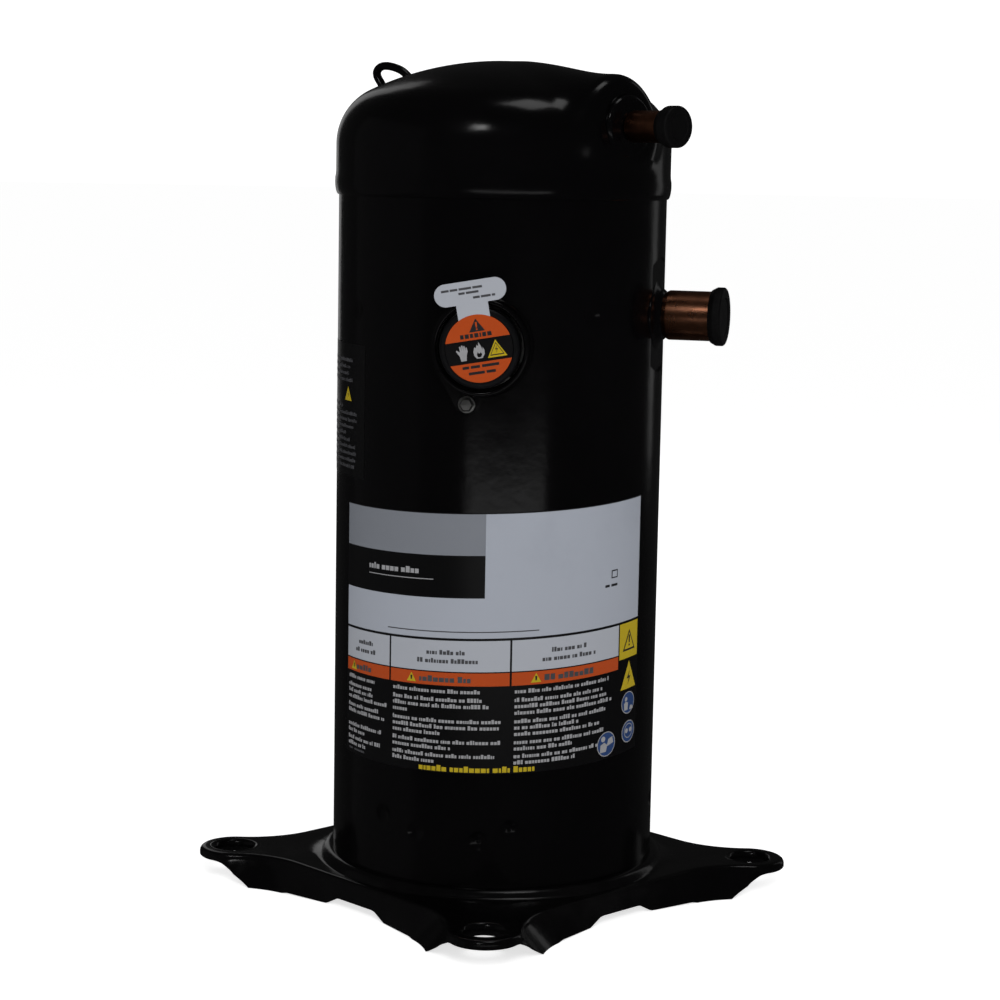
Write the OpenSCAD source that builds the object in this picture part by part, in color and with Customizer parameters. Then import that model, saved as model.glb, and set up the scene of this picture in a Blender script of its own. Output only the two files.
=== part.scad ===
// Hermetic scroll compressor with suction and discharge stubs, in millimetres.
// Origin: centre of the square of mounting holes, in the plane the base skirts rest on. +Z is up the shaft.
// Angles are counted from +X, the direction of the discharge stub.

/* [Shell] */
// Outside diameter of the shell tube
shell_od = 165.1; // [150:0.1:200]
// Wall of the shell tube
shell_wall = 3; // [2.5:0.1:4]
// Height of the top of the dome above the rest plane
overall_h = 422; // [410:1:510]
// How much larger the cap is than the shell, on radius
cap_step = 1.6; // [1:0.1:2.5]
// Wall of the domed cap
cap_wall = 3.2; // [2.5:0.1:4]
// Radius of the crown of the dome
crown_r = 155; // [140:1:200]
// Radius of the knuckle between crown and side
knuckle_r = 30; // [20:1:36]
// Straight height of the cap, from its rim to the knuckle
cap_skirt = 25.16; // [24:0.02:30]

/* [Base plate] */
// Distance between neighbouring mounting holes
hole_pitch = 190.5; // [180:0.5:240]
// Diameter of a mounting hole
hole_d = 19; // [16:0.1:21]
// Radius of the rounded ear around a mounting hole
ear_r = 18; // [16:0.5:22]
// Height of the plate's top face above the rest plane
plate_h = 15; // [12:0.5:20]
// Thickness of the base plate
plate_t = 3.5; // [3:0.1:4.5]
// Width of plate left outside the shell, on each side
plate_margin = 10.5; // [9:0.5:14]
// Radius of the hollow between the side of the plate and an ear
ear_blend_r = 45; // [40:1:60]

/* [Suction stub] */
// Direction of the suction stub
suction_angle = 30; // [25:1:40]
// Distance of the suction stub's axis below the top of the dome
suction_drop = 124; // [120:1:128]
// Inside diameter of the suction cup
suction_id = 22.3; // [20:0.1:26]
// Distance of the open end of the suction cup from the shell's axis
suction_reach = 112.8; // [105:0.1:130]

/* [Discharge stub] */
// Distance of the discharge stub's axis below the top of the dome
discharge_drop = 32; // [30:0.5:34]
// Inside diameter of the discharge cup
discharge_id = 12.9; // [11:0.1:14]
// Distance of the open end of the discharge cup from the shell's axis
discharge_reach = 113.2; // [105:0.1:130]
// Radius of the shoulder pressed out of the dome
shoulder_r = 25; // [22:0.5:26]

/* [Terminal] */
// Direction of the electrical terminal
terminal_angle = -50; // [-56:1:-44]
// Distance of the terminal's axis below the top of the dome
terminal_drop = 137; // [134:1:140]
// Outside radius of the terminal fence
fence_r = 23.4; // [22:0.1:25]
// Turn of the terminal cover about its own axis
cover_turn = 10; // [-15:1:15]

/* [Scroll set] */
// Radius of the scrolls' base circle
base_circle = 3; // [2.8:0.05:3.2]
// Thickness of the scroll wraps
wrap_t = 4; // [3.6:0.1:4.2]
// Height of the scroll wraps
wrap_h = 24; // [20:0.5:26]
// Gap left between the flanks of the two scrolls where they come closest
flank_gap = 0.225; // [0.1:0.025:0.5]
// Height from the flat of the fixed scroll up to the seat of the partition plate
seat_rise = 22.85; // [22.5:0.05:26]

/* [Shaft and motor] */
// Radius of the main journal
journal_r = 16; // [15:0.1:17]
// Radius of the crank pin
pin_r = 9; // [8:0.1:9.5]
// Radius of the lower journal
lower_journal_r = 10; // [9:0.1:11]
// Distance from the underside of the bearing housing down to the top of the stator stack
stator_drop = 43; // [40:1:60]
// Length of the stator stack
stack_l = 84; // [60:1:90]
// Radius of the stator bore
stator_bore_r = 41; // [40:0.1:43]

/* [Fits] */
// Radial clearance of a running fit
run_fit = 0.03; // [0.02:0.01:0.08]
// Gap left between pieces that are pressed, welded or brazed together
joint_gap = 0.02; // [0.01:0.01:0.05]
// Face clearance between pieces that slide on each other
face_gap = 0.05; // [0.03:0.01:0.1]

/* [Hidden] */

$fn = 96;
cut = 1;

// Shell
shell_r = shell_od / 2;
shell_ir = shell_r - shell_wall;
inner_r = shell_ir - joint_gap;
shell_bottom = 7;
cap_lap = 17.5;
cap_r = shell_r + cap_step;
bead_r = cap_r + 0.4;
cap_inner_r = cap_r - cap_wall;
crown_z = overall_h - crown_r;
knuckle_x = cap_r - knuckle_r;
knuckle_z = crown_z + sqrt(pow(crown_r - knuckle_r, 2) - pow(knuckle_x, 2));
crown_end = asin(knuckle_x / (crown_r - knuckle_r));
cap_rim = knuckle_z - cap_skirt;
shell_top = cap_rim + cap_lap;

// Base plate
hole_half = hole_pitch / 2;
hole_r = hole_d / 2;
side_half = shell_r + plate_margin;
blend_y = side_half + ear_blend_r;
blend_rise = blend_y - hole_half;
blend_run = sqrt(pow(ear_r + ear_blend_r, 2) - pow(blend_rise, 2));
blend_x = hole_half - blend_run;
ear_touch = ear_r / (ear_r + ear_blend_r);
blend_to = atan2(blend_run, -blend_rise);
ear_lip = 4.6;
skirt_t = 3;
notch_h = 4.3;
chamfer_h = plate_h - ear_lip;

// Partition plate and the seat under it
partition_t = 3;
partition_z = shell_top;
seat_z = shell_top - 1;
valve_hole_r = 11;
disc_lap = 2;
valve_disc_t = 1.2;
relief_circle = 53.5;
relief_angle = 200;
relief_r = 6;
relief_bore = 3.1;
ball_r = 3;
thermal_circle = 47;
thermal_angle = 100;

// Scroll set, hung below the seat
scroll_plate_t = 10;
scroll_plate_r = 57;
flat_t = 13;
thrust_z = seat_z - seat_rise - flat_t - 3 * face_gap - wrap_h - scroll_plate_t;
wrap_z = thrust_z + face_gap + scroll_plate_t;
wrap_top = wrap_z + wrap_h;
floor_z = wrap_top + 2 * face_gap;
flat_top = floor_z + flat_t;
lift = 1;
pitch = 2 * PI * base_circle;
orbit_r = pitch / 2 - wrap_t - flank_gap;
wrap_start = 150;
wrap_end = 990;
wrap_step = 7.5;
half_wall = wrap_t / (2 * base_circle) * 180 / PI;
rim_ir = 61.5;
rim_r = 66.5;
hub_bush_t = 1.5;
hub_ir = 13.5 + hub_bush_t;
hub_r = 20;
hub_h = 24;
post_angle = -12;
post_ir = scroll_plate_r + orbit_r + 0.8;
bolt_circle = 70.5;
bolt_r = 4;
sleeve_r = 6;
lug_t = 8;
lug_z = wrap_z;

// Floating seal
seal_ir = 22.9;
seal_r = 41;
seal_float = 1.8;
seal_h = seat_rise - lift - face_gap - seal_float;
seal_top = seat_z - lift - face_gap;

// Oldham ring
ring_ir = 44;
ring_r = 53;
ring_t = 6;
key_w = 6;
key_l = 8;
key_r = (ring_ir + ring_r) / 2;
key_d = 4;
thrust_ir = 27.5;
thrust_r = 38;
thrust_t = 2;
ring_floor = thrust_z - 7;

// Shaft
bush_wall = 2;
main_bush_r = journal_r + run_fit + bush_wall;
bush_or = hub_ir - hub_bush_t - run_fit;
compliance = 0.5;
housing_bottom = thrust_z - 66;
cavity_floor = thrust_z - hub_h - 3;
lower_bush_or = lower_journal_r + run_fit + bush_wall;
bracket_z = 42;
bracket_h = 30;
washer_t = 1.5;
bracket_floor = bracket_z + 3;
shaft_bottom = bracket_floor + washer_t + face_gap;
tube_foot = 16;
tube_grip = 20;

// Motor
stator_top = housing_bottom - stator_drop;
stator_z = stator_top - stack_l;
air_gap = 0.5;
rotor_r = stator_bore_r - air_gap;
slots = 24;
slot_w = 6;
slot_in = stator_bore_r + 2;
slot_out = 64;
coil_in = stator_bore_r + 5;
coil_out = 73;
coil_h = 32;
coil_gap = 2;
bars = 28;
bar_r = 2.6;
bar_circle = rotor_r - 5;
end_ring_h = 9;

// Places along the height
suction_z = overall_h - suction_drop;
discharge_z = overall_h - discharge_drop;
terminal_z = overall_h - terminal_drop;
terminal_pin_r = 1.6;
tube_wall = 1.15;

// Points of an arc in the plane, from angle a to angle b
function arc(c, r, a, b, n) =
    [for (i = [0 : n]) let (t = a + (b - a) * i / n) [c[0] + r * cos(t), c[1] + r * sin(t)]];

// A point on a wrap's flank: turn is the flank's shift from the middle of the wall
function flank(t, turn) =
    let (l = base_circle * (t + turn) * PI / 180)
    [base_circle * cos(t) + l * sin(t), base_circle * sin(t) - l * cos(t)];

// Unit vector of v
function unit(v) = v / norm(v);

// Direction along a route at point i
function along(p, i) = unit(p[min(i + 1, len(p) - 1)] - p[max(i - 1, 0)]);

// Ring of points round a route at point i
function route_ring(p, r, sides, i) =
    let (d = along(p, i))
    let (side = unit(cross(d, abs(d[2]) < 0.9 ? [0, 0, 1] : [1, 0, 0])))
    let (up = cross(side, d))
    [for (k = [0 : sides - 1]) p[i] + r * (cos(k * 360 / sides) * side + sin(k * 360 / sides) * up)];

// Tube swept along a list of points
module swept(p, r, sides) {
    n = len(p);
    points = [for (i = [0 : n - 1]) each route_ring(p, r, sides, i)];
    walls = [for (i = [0 : n - 2], k = [0 : sides - 1])
        let (m = (k + 1) % sides)
        [i * sides + k, i * sides + m, (i + 1) * sides + m, (i + 1) * sides + k]];
    first = [[for (k = [sides - 1 : -1 : 0]) k]];
    last = [[for (k = [0 : sides - 1]) (n - 1) * sides + k]];
    polyhedron(points, concat(walls, first, last), convexity = 4);
}

// Ring with a square section, standing on z = 0
module ring(r_out, r_in, h) {
    difference() {
        cylinder(r = r_out, h = h);
        translate([0, 0, -cut]) cylinder(r = r_in, h = h + 2 * cut);
    }
}

// Local Z points outwards from the shell's axis in direction a, at height z
module outwards(a, z, r = 0) {
    rotate([0, 0, a]) translate([r, 0, z]) rotate([0, 90, 0]) rotate([0, 0, 90]) children();
}

// Outline of a dome's half section, shrunk inwards by inset
module dome_section(inset, bottom) {
    side = cap_r - inset;
    knuckle = arc([knuckle_x, knuckle_z], knuckle_r - inset, 0, 90 - crown_end, 10);
    crown = arc([0, crown_z], crown_r - inset, 90 - crown_end, 90, 8);
    polygon(concat([[0, bottom], [side, bottom]], knuckle, [for (i = [1 : 8]) crown[i]]));
}

// Shoulder that carries the discharge boss, shrunk inwards by inset
module shoulder(inset) {
    edge = 7;
    root = 12;
    height = cap_r - 1 - inset - root;
    r = shoulder_r - inset;
    rounded_edge = arc([r - edge, height - edge], edge, 0, 90, 6);
    outwards(0, discharge_z, root) rotate_extrude()
        polygon(concat([[0, 0], [r, 0]], rounded_edge, [[0, height]]));
}

module dome_solid(inset, bottom) {
    rotate_extrude() dome_section(inset, bottom);
    shoulder(inset);
}

// Shallow dent left by a plug weld
module weld_dent(a, z) {
    ball = 9;
    depth = 1.4;
    outwards(a, z, shell_r + ball - depth) sphere(r = ball);
}

module shell_tube() {
    pad_r = 28.5;
    pad_depth = 1.2;
    // Direction and height of each plug weld round the foot
    foot_welds = [[-85, 51], [-71, 45], [-48.5, 43], [-38, 49], [35, 49], [155, 49]];
    color("#17181c") difference() {
        translate([0, 0, shell_bottom]) ring(shell_r, shell_ir, shell_top - shell_bottom);
        outwards(suction_angle, suction_z, shell_r - pad_depth) cylinder(r = pad_r, h = 10);
        outwards(suction_angle, suction_z, shell_r - 20) cylinder(r = 12, h = 30);
        outwards(terminal_angle, terminal_z, shell_r - 20) cylinder(r = 20, h = 30);
        for (k = [0 : 3]) weld_dent(post_angle + 90 * k, thrust_z - 2);
        for (w = foot_welds) weld_dent(w[0], w[1]);
    }
}

module top_cap() {
    lap_r = shell_r + joint_gap;
    color("#17181c") difference() {
        union() {
            dome_solid(0, cap_rim);
            translate([0, 0, cap_rim]) rotate_extrude() polygon([
                [0, 0], [shell_r + 0.9, 0], [cap_r, 2], [bead_r, 4.5], [bead_r, 7.5], [cap_r, 11], [0, 11]
            ]);
        }
        dome_solid(cap_wall, shell_top + partition_t);
        translate([0, 0, cap_rim - cut]) cylinder(r = lap_r, h = cap_lap + partition_t + cut);
        outwards(0, discharge_z, cap_r - 12) cylinder(r = 13 + joint_gap, h = 30);
    }
}

module bottom_cap() {
    t = 3.5;
    dish_r = 420;
    low = 2.5;
    color("#17181c") difference() {
        intersection() {
            translate([0, 0, low]) cylinder(r = inner_r, h = 24 - low);
            translate([0, 0, low + dish_r]) sphere(r = dish_r);
        }
        intersection() {
            translate([0, 0, low]) cylinder(r = inner_r - t, h = 40);
            translate([0, 0, low + dish_r]) sphere(r = dish_r - t);
        }
    }
}

// One corner of the base plate: hollow curve, rounded ear, hollow curve
function plate_corner() =
    concat(
        arc([blend_y, blend_x], ear_blend_r, 180, blend_to, 8),
        arc([hole_half, hole_half], ear_r, blend_to - 180, 270 - blend_to, 24),
        arc([blend_x, blend_y], ear_blend_r, 90 - blend_to, -90, 8)
    );

// Point p turned about the axis
function turned(p, a) = [p[0] * cos(a) - p[1] * sin(a), p[0] * sin(a) + p[1] * cos(a)];

// Plan of the base plate: a square with an ear at each corner
module plate_outline() {
    polygon([for (k = [0 : 3], p = plate_corner()) turned(p, 90 * k)]);
}

// Distance of the plate's edge from the centre line, at distance t along a side
function edge_at(t) =
    t < blend_x ? side_half
    : t < hole_half - blend_run * ear_touch ? blend_y - sqrt(pow(ear_blend_r, 2) - pow(t - blend_x, 2))
    : hole_half + sqrt(pow(ear_r, 2) - pow(hole_half - t, 2));

// Turned-down skirt under one side. Each station is distance along the side, flare and foot height
module skirt() {
    half = [
        [0, 1, notch_h], [hole_half * 0.15, 1, notch_h], [hole_half * 0.25, 1.5, 0],
        [hole_half * 0.5, 7, 0], [hole_half * 0.71, 11, 0], [hole_half * 0.91, 1, chamfer_h]
    ];
    n = len(half);
    stations = concat([for (i = [n - 1 : -1 : 1]) [-half[i][0], half[i][1], half[i][2]]], half);
    m = len(stations);
    top = plate_h - plate_t / 2;
    points = [for (s = stations)
        let (edge = edge_at(abs(s[0])) - 0.3)
        each [
            [s[0], edge + s[1], s[2]], [s[0], edge, top],
            [s[0], edge - skirt_t, top], [s[0], edge + s[1] - skirt_t, s[2]]
        ]];
    walls = [for (i = [0 : m - 2], k = [0 : 3], half_face = [0, 1])
        let (a = 4 * i + k)
        let (b = 4 * i + (k + 1) % 4)
        half_face == 0 ? [a, b + 4, b] : [a, a + 4, b + 4]];
    ends = [[1, 2, 3], [0, 1, 3], [4 * m - 2, 4 * m - 3, 4 * m - 4], [4 * m - 1, 4 * m - 2, 4 * m - 4]];
    polyhedron(points, concat(walls, ends), convexity = 6);
}

module base_plate() {
    collar_h = 4;
    collar_w = 6.5;
    lead_in = 2.5;
    under = plate_h - plate_t;
    color("#1b1c20") difference() {
        union() {
            translate([0, 0, under]) linear_extrude(plate_t) plate_outline();
            translate([0, 0, under]) rotate_extrude()
                polygon([
                    [0, 0], [shell_r + collar_w, 0], [shell_r + collar_w, plate_t],
                    [shell_r + collar_w - 1.5, plate_t + collar_h - 1], [shell_r + 3.5, plate_t + collar_h],
                    [0, plate_t + collar_h]
                ]);
            for (k = [0 : 3]) rotate([0, 0, 90 * k]) {
                skirt();
                translate([hole_half, hole_half, plate_h - ear_lip])
                    cylinder(r = ear_r - 0.2, h = ear_lip - 0.4);
                translate([hole_half, hole_half, under - 2.5]) cylinder(r = hole_r + 3, h = plate_t);
            }
        }
        translate([0, 0, -cut]) cylinder(r = shell_r + joint_gap, h = 40);
        for (k = [0 : 3]) rotate([0, 0, 90 * k]) translate([hole_half, hole_half, 0]) {
            translate([0, 0, -cut]) cylinder(r = hole_r, h = 40);
            translate([0, 0, plate_h - lead_in]) cylinder(r1 = hole_r, r2 = hole_r + 4, h = lead_in + 0.01);
            translate([0, 0, plate_h - ear_lip - cut]) difference() {
                cylinder(r = ear_r - 2.5, h = ear_lip - plate_t + cut);
                cylinder(r = hole_r + 3, h = ear_lip);
            }
        }
    }
}

module lifting_eye() {
    angle = -160;
    foot_r = 61.5;
    t = 5;
    bar = 2.1;
    // Middle of the bar: distance outwards from the foot, and height above the crown there
    path = [
        [6, -7], [7.2, -3], [9.2, 1], [11.4, 4.4], [11.9, 7], [10.4, 9.2], [7.2, 10.2], [2, 9.5],
        [-3.2, 7.4], [-7.2, 3.7], [-8.6, -1]
    ];
    sides = [for (s = [1, -1])
        [for (i = [0 : len(path) - 1]) let (d = along(path, i)) path[i] + s * bar * [-d[1], d[0]]]];
    color("#17181c") difference() {
        rotate([0, 0, angle]) translate([foot_r, 0, crown_z + sqrt(pow(crown_r, 2) - pow(foot_r, 2))])
            rotate([90, 0, 0]) linear_extrude(t, center = true)
            polygon(concat(sides[0], [for (i = [len(path) - 1 : -1 : 0]) sides[1][i]]));
        translate([0, 0, joint_gap]) rotate_extrude() dome_section(-joint_gap, cap_rim);
    }
}

module partition_plate() {
    flat_r = 62;
    z = partition_z;
    color("#3c3f45") difference() {
        rotate_extrude() polygon([
            [0, seat_z], [flat_r, seat_z], [flat_r + 3, z - 4], [shell_ir - 4, z - 4], [shell_ir - 1, z],
            [shell_r - joint_gap, z], [shell_r - joint_gap, z + partition_t - joint_gap],
            [cap_inner_r - 1, z + partition_t - joint_gap], [shell_ir - 5.5, z - 1], [flat_r + 4, z - 1],
            [flat_r + 1, seat_z + partition_t], [0, seat_z + partition_t]
        ]);
        translate([0, 0, seat_z - cut]) cylinder(r = valve_hole_r, h = 2 * partition_t + cut);
        rotate([0, 0, relief_angle]) translate([relief_circle, 0, seat_z - cut])
            cylinder(r = relief_r, h = 2 * partition_t);
        rotate([0, 0, thermal_angle]) translate([thermal_circle, 0, seat_z - cut])
            cylinder(r = 3, h = 2 * partition_t);
    }
}

module suction_boss() {
    color("#17181c") difference() {
        outwards(suction_angle, suction_z, shell_ir - 2) cylinder(r = 12 - joint_gap, h = shell_wall + 3.4);
        outwards(suction_angle, suction_z, shell_ir - 10) cylinder(r = 10.5 + joint_gap, h = 30);
    }
}

// Copper stub: a neck that widens to a cup, with r_cup its outer radius
module stub(r_neck, r_cup, start, neck_end, cone_end, reach) {
    rotate_extrude() polygon([
        [r_neck - tube_wall, 0], [r_neck, 0], [r_neck, neck_end - start], [r_cup, cone_end - start],
        [r_cup, reach - start], [r_cup - tube_wall, reach - start], [r_cup - tube_wall, cone_end - start],
        [r_neck - tube_wall, neck_end - start]
    ]);
}

// Rubber cap that slips over the end of a cup
module stub_cap(r_cup, r_head, length) {
    grip = 4;
    chamfer = 1.6;
    rotate_extrude() polygon(concat(
        [[0, grip], [r_cup + run_fit, grip], [r_cup + run_fit, 0], [r_cup + 0.8, 0], [r_head, chamfer + 1]],
        arc([r_head - 0.8, grip + length - grip - 0.8], 0.8, 0, 90, 4), [[0, length]]
    ));
}

module suction_stub() {
    start = shell_ir - 2;
    color("#b5683c") outwards(suction_angle, suction_z, start)
        stub(10.5, suction_id / 2 + tube_wall, start, shell_r + 2, shell_r + 4.5, suction_reach);
}

module suction_stub_cap() {
    color("#202124") outwards(suction_angle, suction_z, suction_reach - 4 + face_gap)
        stub_cap(suction_id / 2 + tube_wall, 14.5, 6.6);
}

module discharge_boss() {
    end = cap_r + 3.5;
    color("#17181c") difference() {
        union() {
            outwards(0, discharge_z, cap_r + joint_gap)
                cylinder(r = 15.1, h = end - cap_r - joint_gap);
            outwards(0, discharge_z, end - 12) cylinder(r = 13, h = 12);
        }
        outwards(0, discharge_z, end - 20) cylinder(r = 5.2 + joint_gap, h = 30);
    }
}

module discharge_stub() {
    start = cap_r - 12;
    color("#b5683c") outwards(0, discharge_z, start)
        stub(5.2, discharge_id / 2 + tube_wall, start, cap_r + 3.6, cap_r + 5, discharge_reach);
}

module discharge_stub_cap() {
    color("#202124") outwards(0, discharge_z, discharge_reach - 4 + face_gap)
        stub_cap(discharge_id / 2 + tube_wall, 9.9, 9);
}

// Places of the three terminal pins round the terminal's axis
module at_pins() {
    for (k = [0 : 2]) rotate([0, 0, 90 + 120 * k]) translate([8, 0, 0]) children();
}

module terminal_body() {
    color("#8b8d90") difference() {
        outwards(terminal_angle, terminal_z, shell_ir - 5)
            cylinder(r = 20 - joint_gap, h = shell_wall + 4);
        outwards(terminal_angle, terminal_z, shell_ir - 2) cylinder(r = 17.5, h = 20);
        outwards(terminal_angle, terminal_z, shell_ir - 10) at_pins() cylinder(r = 3.4, h = 20);
    }
}

module terminal_glass() {
    color("#3f7f6a") outwards(terminal_angle, terminal_z, shell_ir - 5.5) at_pins()
        ring(3.4 - joint_gap, terminal_pin_r + joint_gap, 4);
}

module terminal_pins() {
    color("#c9c9c4") outwards(terminal_angle, terminal_z, shell_ir - 16) at_pins()
        cylinder(r = terminal_pin_r, h = 24);
}

module terminal_fence() {
    wall = 2.5;
    color("#1b1c20") difference() {
        outwards(terminal_angle, terminal_z, shell_r - 8) ring(fence_r, fence_r - wall, 17);
        cylinder(r = shell_r + joint_gap, h = overall_h);
    }
}

module terminal_cover() {
    face = shell_r + 12;
    r = fence_r - 4.1;
    color("#101114") difference() {
        outwards(terminal_angle, terminal_z, shell_r + 1) cylinder(r = r, h = face - shell_r - 1);
        outwards(terminal_angle, terminal_z, shell_r - 5) cylinder(r = r - 2, h = face - shell_r + 3);
    }
    color("#101114") outwards(terminal_angle, terminal_z, shell_r + 4)
        for (k = [0 : 3]) rotate([0, 0, 45 + 90 * k]) translate([r - 0.5, -3, 0]) cube([1.3, 6, 3]);
}

module cover_label() {
    face = shell_r + 12 + joint_gap;
    tab_up = 26.8;
    tab_half = 11.8;
    tab_r = 5.4;
    neck_w = 15.2;
    color("#e98a2a") outwards(terminal_angle, terminal_z, face) rotate([0, 0, cover_turn])
        linear_extrude(0.4) {
            circle(r = 16.2);
            translate([-neck_w / 2, 10]) square([neck_w, tab_up - 10]);
            translate([-tab_half, tab_up]) circle(r = tab_r);
            translate([tab_half, tab_up]) circle(r = tab_r);
            translate([-tab_half, tab_up - tab_r]) square([2 * tab_half, 2 * tab_r]);
        }
}

// Place of the ground screw, from the terminal's axis: across and up
screw_at = [-6.5, -27.5];

module ground_bracket() {
    color("#1b1c20") difference() {
        outwards(terminal_angle, terminal_z, shell_r - 8) linear_extrude(11) polygon([
            [-23.5, -9], [-14, -24.5], [-11, -31], [-2, -31], [1, -24], [0, -18], [-12, -12]
        ]);
        cylinder(r = shell_r + joint_gap, h = overall_h, $fn = 360);
        outwards(terminal_angle, terminal_z, shell_r - 10) cylinder(r = fence_r + joint_gap, h = 30);
        outwards(terminal_angle, terminal_z, shell_r - 10) translate([screw_at[0], screw_at[1], 0])
            cylinder(r = 2.5 + joint_gap, h = 30);
    }
}

module ground_screw() {
    color("#9aa0a4") outwards(terminal_angle, terminal_z, 0) translate([screw_at[0], screw_at[1], 0]) {
        translate([0, 0, shell_r + joint_gap]) cylinder(r = 2.5, h = 4);
        translate([0, 0, shell_r + 3 + joint_gap]) cylinder(r = 4.2, h = 1);
        translate([0, 0, shell_r + 4]) cylinder(r = 3.6, h = 2.6, $fn = 6);
    }
}

// Sheet wrapped on the shell, cut by a tilted rectangle seen from direction a
module wrapped_sheet(a, z_mid, half_w, height, tilt) {
    intersection() {
        ring(shell_r + joint_gap + 0.25, shell_r + joint_gap, overall_h);
        rotate([0, 0, a]) translate([0, 0, z_mid]) rotate([tilt, 0, 0])
            translate([shell_r / 4, -half_w, -height / 2]) cube([shell_r, 2 * half_w, height]);
    }
}

module main_label() {
    color("#c9cdd3") wrapped_sheet(-46, 142.5, 72.6, 128, 2.6);
}

module side_label() {
    color("#101114") wrapped_sheet(-132, 254, 47, 77, 0);
}

module suction_baffle() {
    half_span = 19;
    t = 1.2;
    h = 36;
    r = shell_ir - 5;
    reach = 2 * shell_r;
    color("#55585d") rotate([0, 0, suction_angle]) translate([0, 0, suction_z - h / 2]) {
        intersection() {
            ring(r + t, r, h);
            linear_extrude(h) polygon([
                [0, 0],
                [reach * cos(half_span), -reach * sin(half_span)],
                [reach * cos(half_span), reach * sin(half_span)]
            ]);
        }
        for (s = [-1, 1]) rotate([0, 0, s * (half_span - 1)]) intersection() {
            translate([r + 0.4, -t / 2, 2]) cube([10, t, h - 4]);
            cylinder(r = inner_r, h = h);
        }
    }
}

// Four copies round the axis, at the posts of the bearing housing
module at_posts() {
    for (k = [0 : 3]) rotate([0, 0, post_angle + 90 * k]) children();
}

module bearing_housing() {
    arm_w = 24;
    arm_t = 14;
    disc_t = 8;
    cavity_r = hub_r + orbit_r + compliance + 0.8;
    cavity_base = cavity_floor - 6;
    slot_l = key_l + 2 * orbit_r + 0.6;
    slot_w = key_w + 2 * face_gap;
    color("#6d7176") difference() {
        union() {
            translate([0, 0, housing_bottom]) cylinder(r = 26, h = thrust_z - 12 - housing_bottom);
            translate([0, 0, cavity_base])
                cylinder(r = thrust_r, h = thrust_z - thrust_t - joint_gap - cavity_base);
            translate([0, 0, ring_floor - disc_t]) cylinder(r = 60, h = disc_t);
            intersection() {
                translate([0, 0, ring_floor - arm_t]) cylinder(r = inner_r, h = lug_z - ring_floor + arm_t);
                at_posts() union() {
                    translate([30, -arm_w / 2, ring_floor - arm_t]) cube([inner_r, arm_w, arm_t]);
                    translate([post_ir, -arm_w / 2, ring_floor - arm_t])
                        cube([inner_r, arm_w, lug_z - ring_floor + arm_t]);
                }
            }
        }
        translate([0, 0, cavity_floor]) cylinder(r = cavity_r, h = 60);
        translate([0, 0, housing_bottom - cut]) cylinder(r = main_bush_r + joint_gap, h = 90);
        for (s = [0, 180]) rotate([0, 0, s])
            translate([key_r - slot_l / 2, -slot_w / 2, ring_floor - key_d - 0.3])
            cube([slot_l, slot_w, key_d + 2]);
        at_posts() translate([bolt_circle, 0, ring_floor - 6]) cylinder(r = bolt_r + joint_gap, h = 60);
    }
}

module main_bush() {
    color("#a9825a") translate([0, 0, housing_bottom])
        ring(main_bush_r, journal_r + run_fit, cavity_floor - housing_bottom);
}

module thrust_plate() {
    color("#9da3a8") translate([0, 0, thrust_z - thrust_t]) ring(thrust_r, thrust_ir, thrust_t);
}

module crankshaft() {
    pin_h = hub_h - 1.5;
    oil_r = 3;
    journal_z = shaft_bottom + bracket_h + 6;
    color("#8f949a") difference() {
        union() {
            translate([0, 0, shaft_bottom]) cylinder(r = lower_journal_r, h = bracket_h + 12);
            translate([0, 0, journal_z]) cylinder(r = journal_r, h = cavity_floor + 1 - journal_z);
            translate([0, orbit_r, cavity_floor + 0.5]) cylinder(r = pin_r, h = pin_h);
        }
        translate([0, 0, shaft_bottom - cut]) cylinder(r = 5 + joint_gap, h = 31);
        translate([0, 0, shaft_bottom + tube_grip]) cylinder(r = oil_r, h = 50);
        translate([0, orbit_r, shaft_bottom + 60]) cylinder(r = oil_r, h = overall_h);
    }
}

module drive_bush() {
    h = hub_h - 3;
    color("#b3a27a") difference() {
        translate([0, orbit_r, cavity_floor + 1.5]) cylinder(r = bush_or, h = h);
        for (s = [-compliance, compliance])
            translate([0, orbit_r + s, cavity_floor]) cylinder(r = pin_r + run_fit, h = h + 4);
        translate([-pin_r - run_fit, orbit_r - compliance, cavity_floor])
            cube([2 * (pin_r + run_fit), 2 * compliance, h + 4]);
    }
}

module hub_bush() {
    color("#a9825a") translate([0, orbit_r, thrust_z + face_gap - hub_h + 1])
        ring(hub_ir - joint_gap, hub_ir - hub_bush_t, hub_h - 3);
}

// Plan of a scroll wrap: out along one flank and back along the other
module wrap_outline() {
    n = round((wrap_end - wrap_start) / wrap_step);
    outer = [for (i = [0 : n]) flank(wrap_start + i * wrap_step, half_wall)];
    inner = [for (i = [n : -1 : 0]) flank(wrap_start + i * wrap_step, -half_wall)];
    polygon(concat(outer, inner));
}

module orbiting_scroll() {
    pocket_w = key_w + 4 * orbit_r + 1;
    color("#7b7f84") translate([0, orbit_r, 0]) {
        translate([0, 0, wrap_z - 0.01]) linear_extrude(wrap_h + 0.01) rotate(180) wrap_outline();
        difference() {
            translate([0, 0, thrust_z + face_gap]) cylinder(r = scroll_plate_r, h = scroll_plate_t);
            for (s = [0, 180]) rotate([0, 0, s])
                translate([-pocket_w / 2, key_r - key_l / 2 - orbit_r - 0.4, thrust_z])
                cube([pocket_w, 40, key_d + 0.6]);
        }
        translate([0, 0, thrust_z + face_gap - hub_h]) ring(hub_r, hub_ir, hub_h + 0.01);
    }
}

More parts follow.
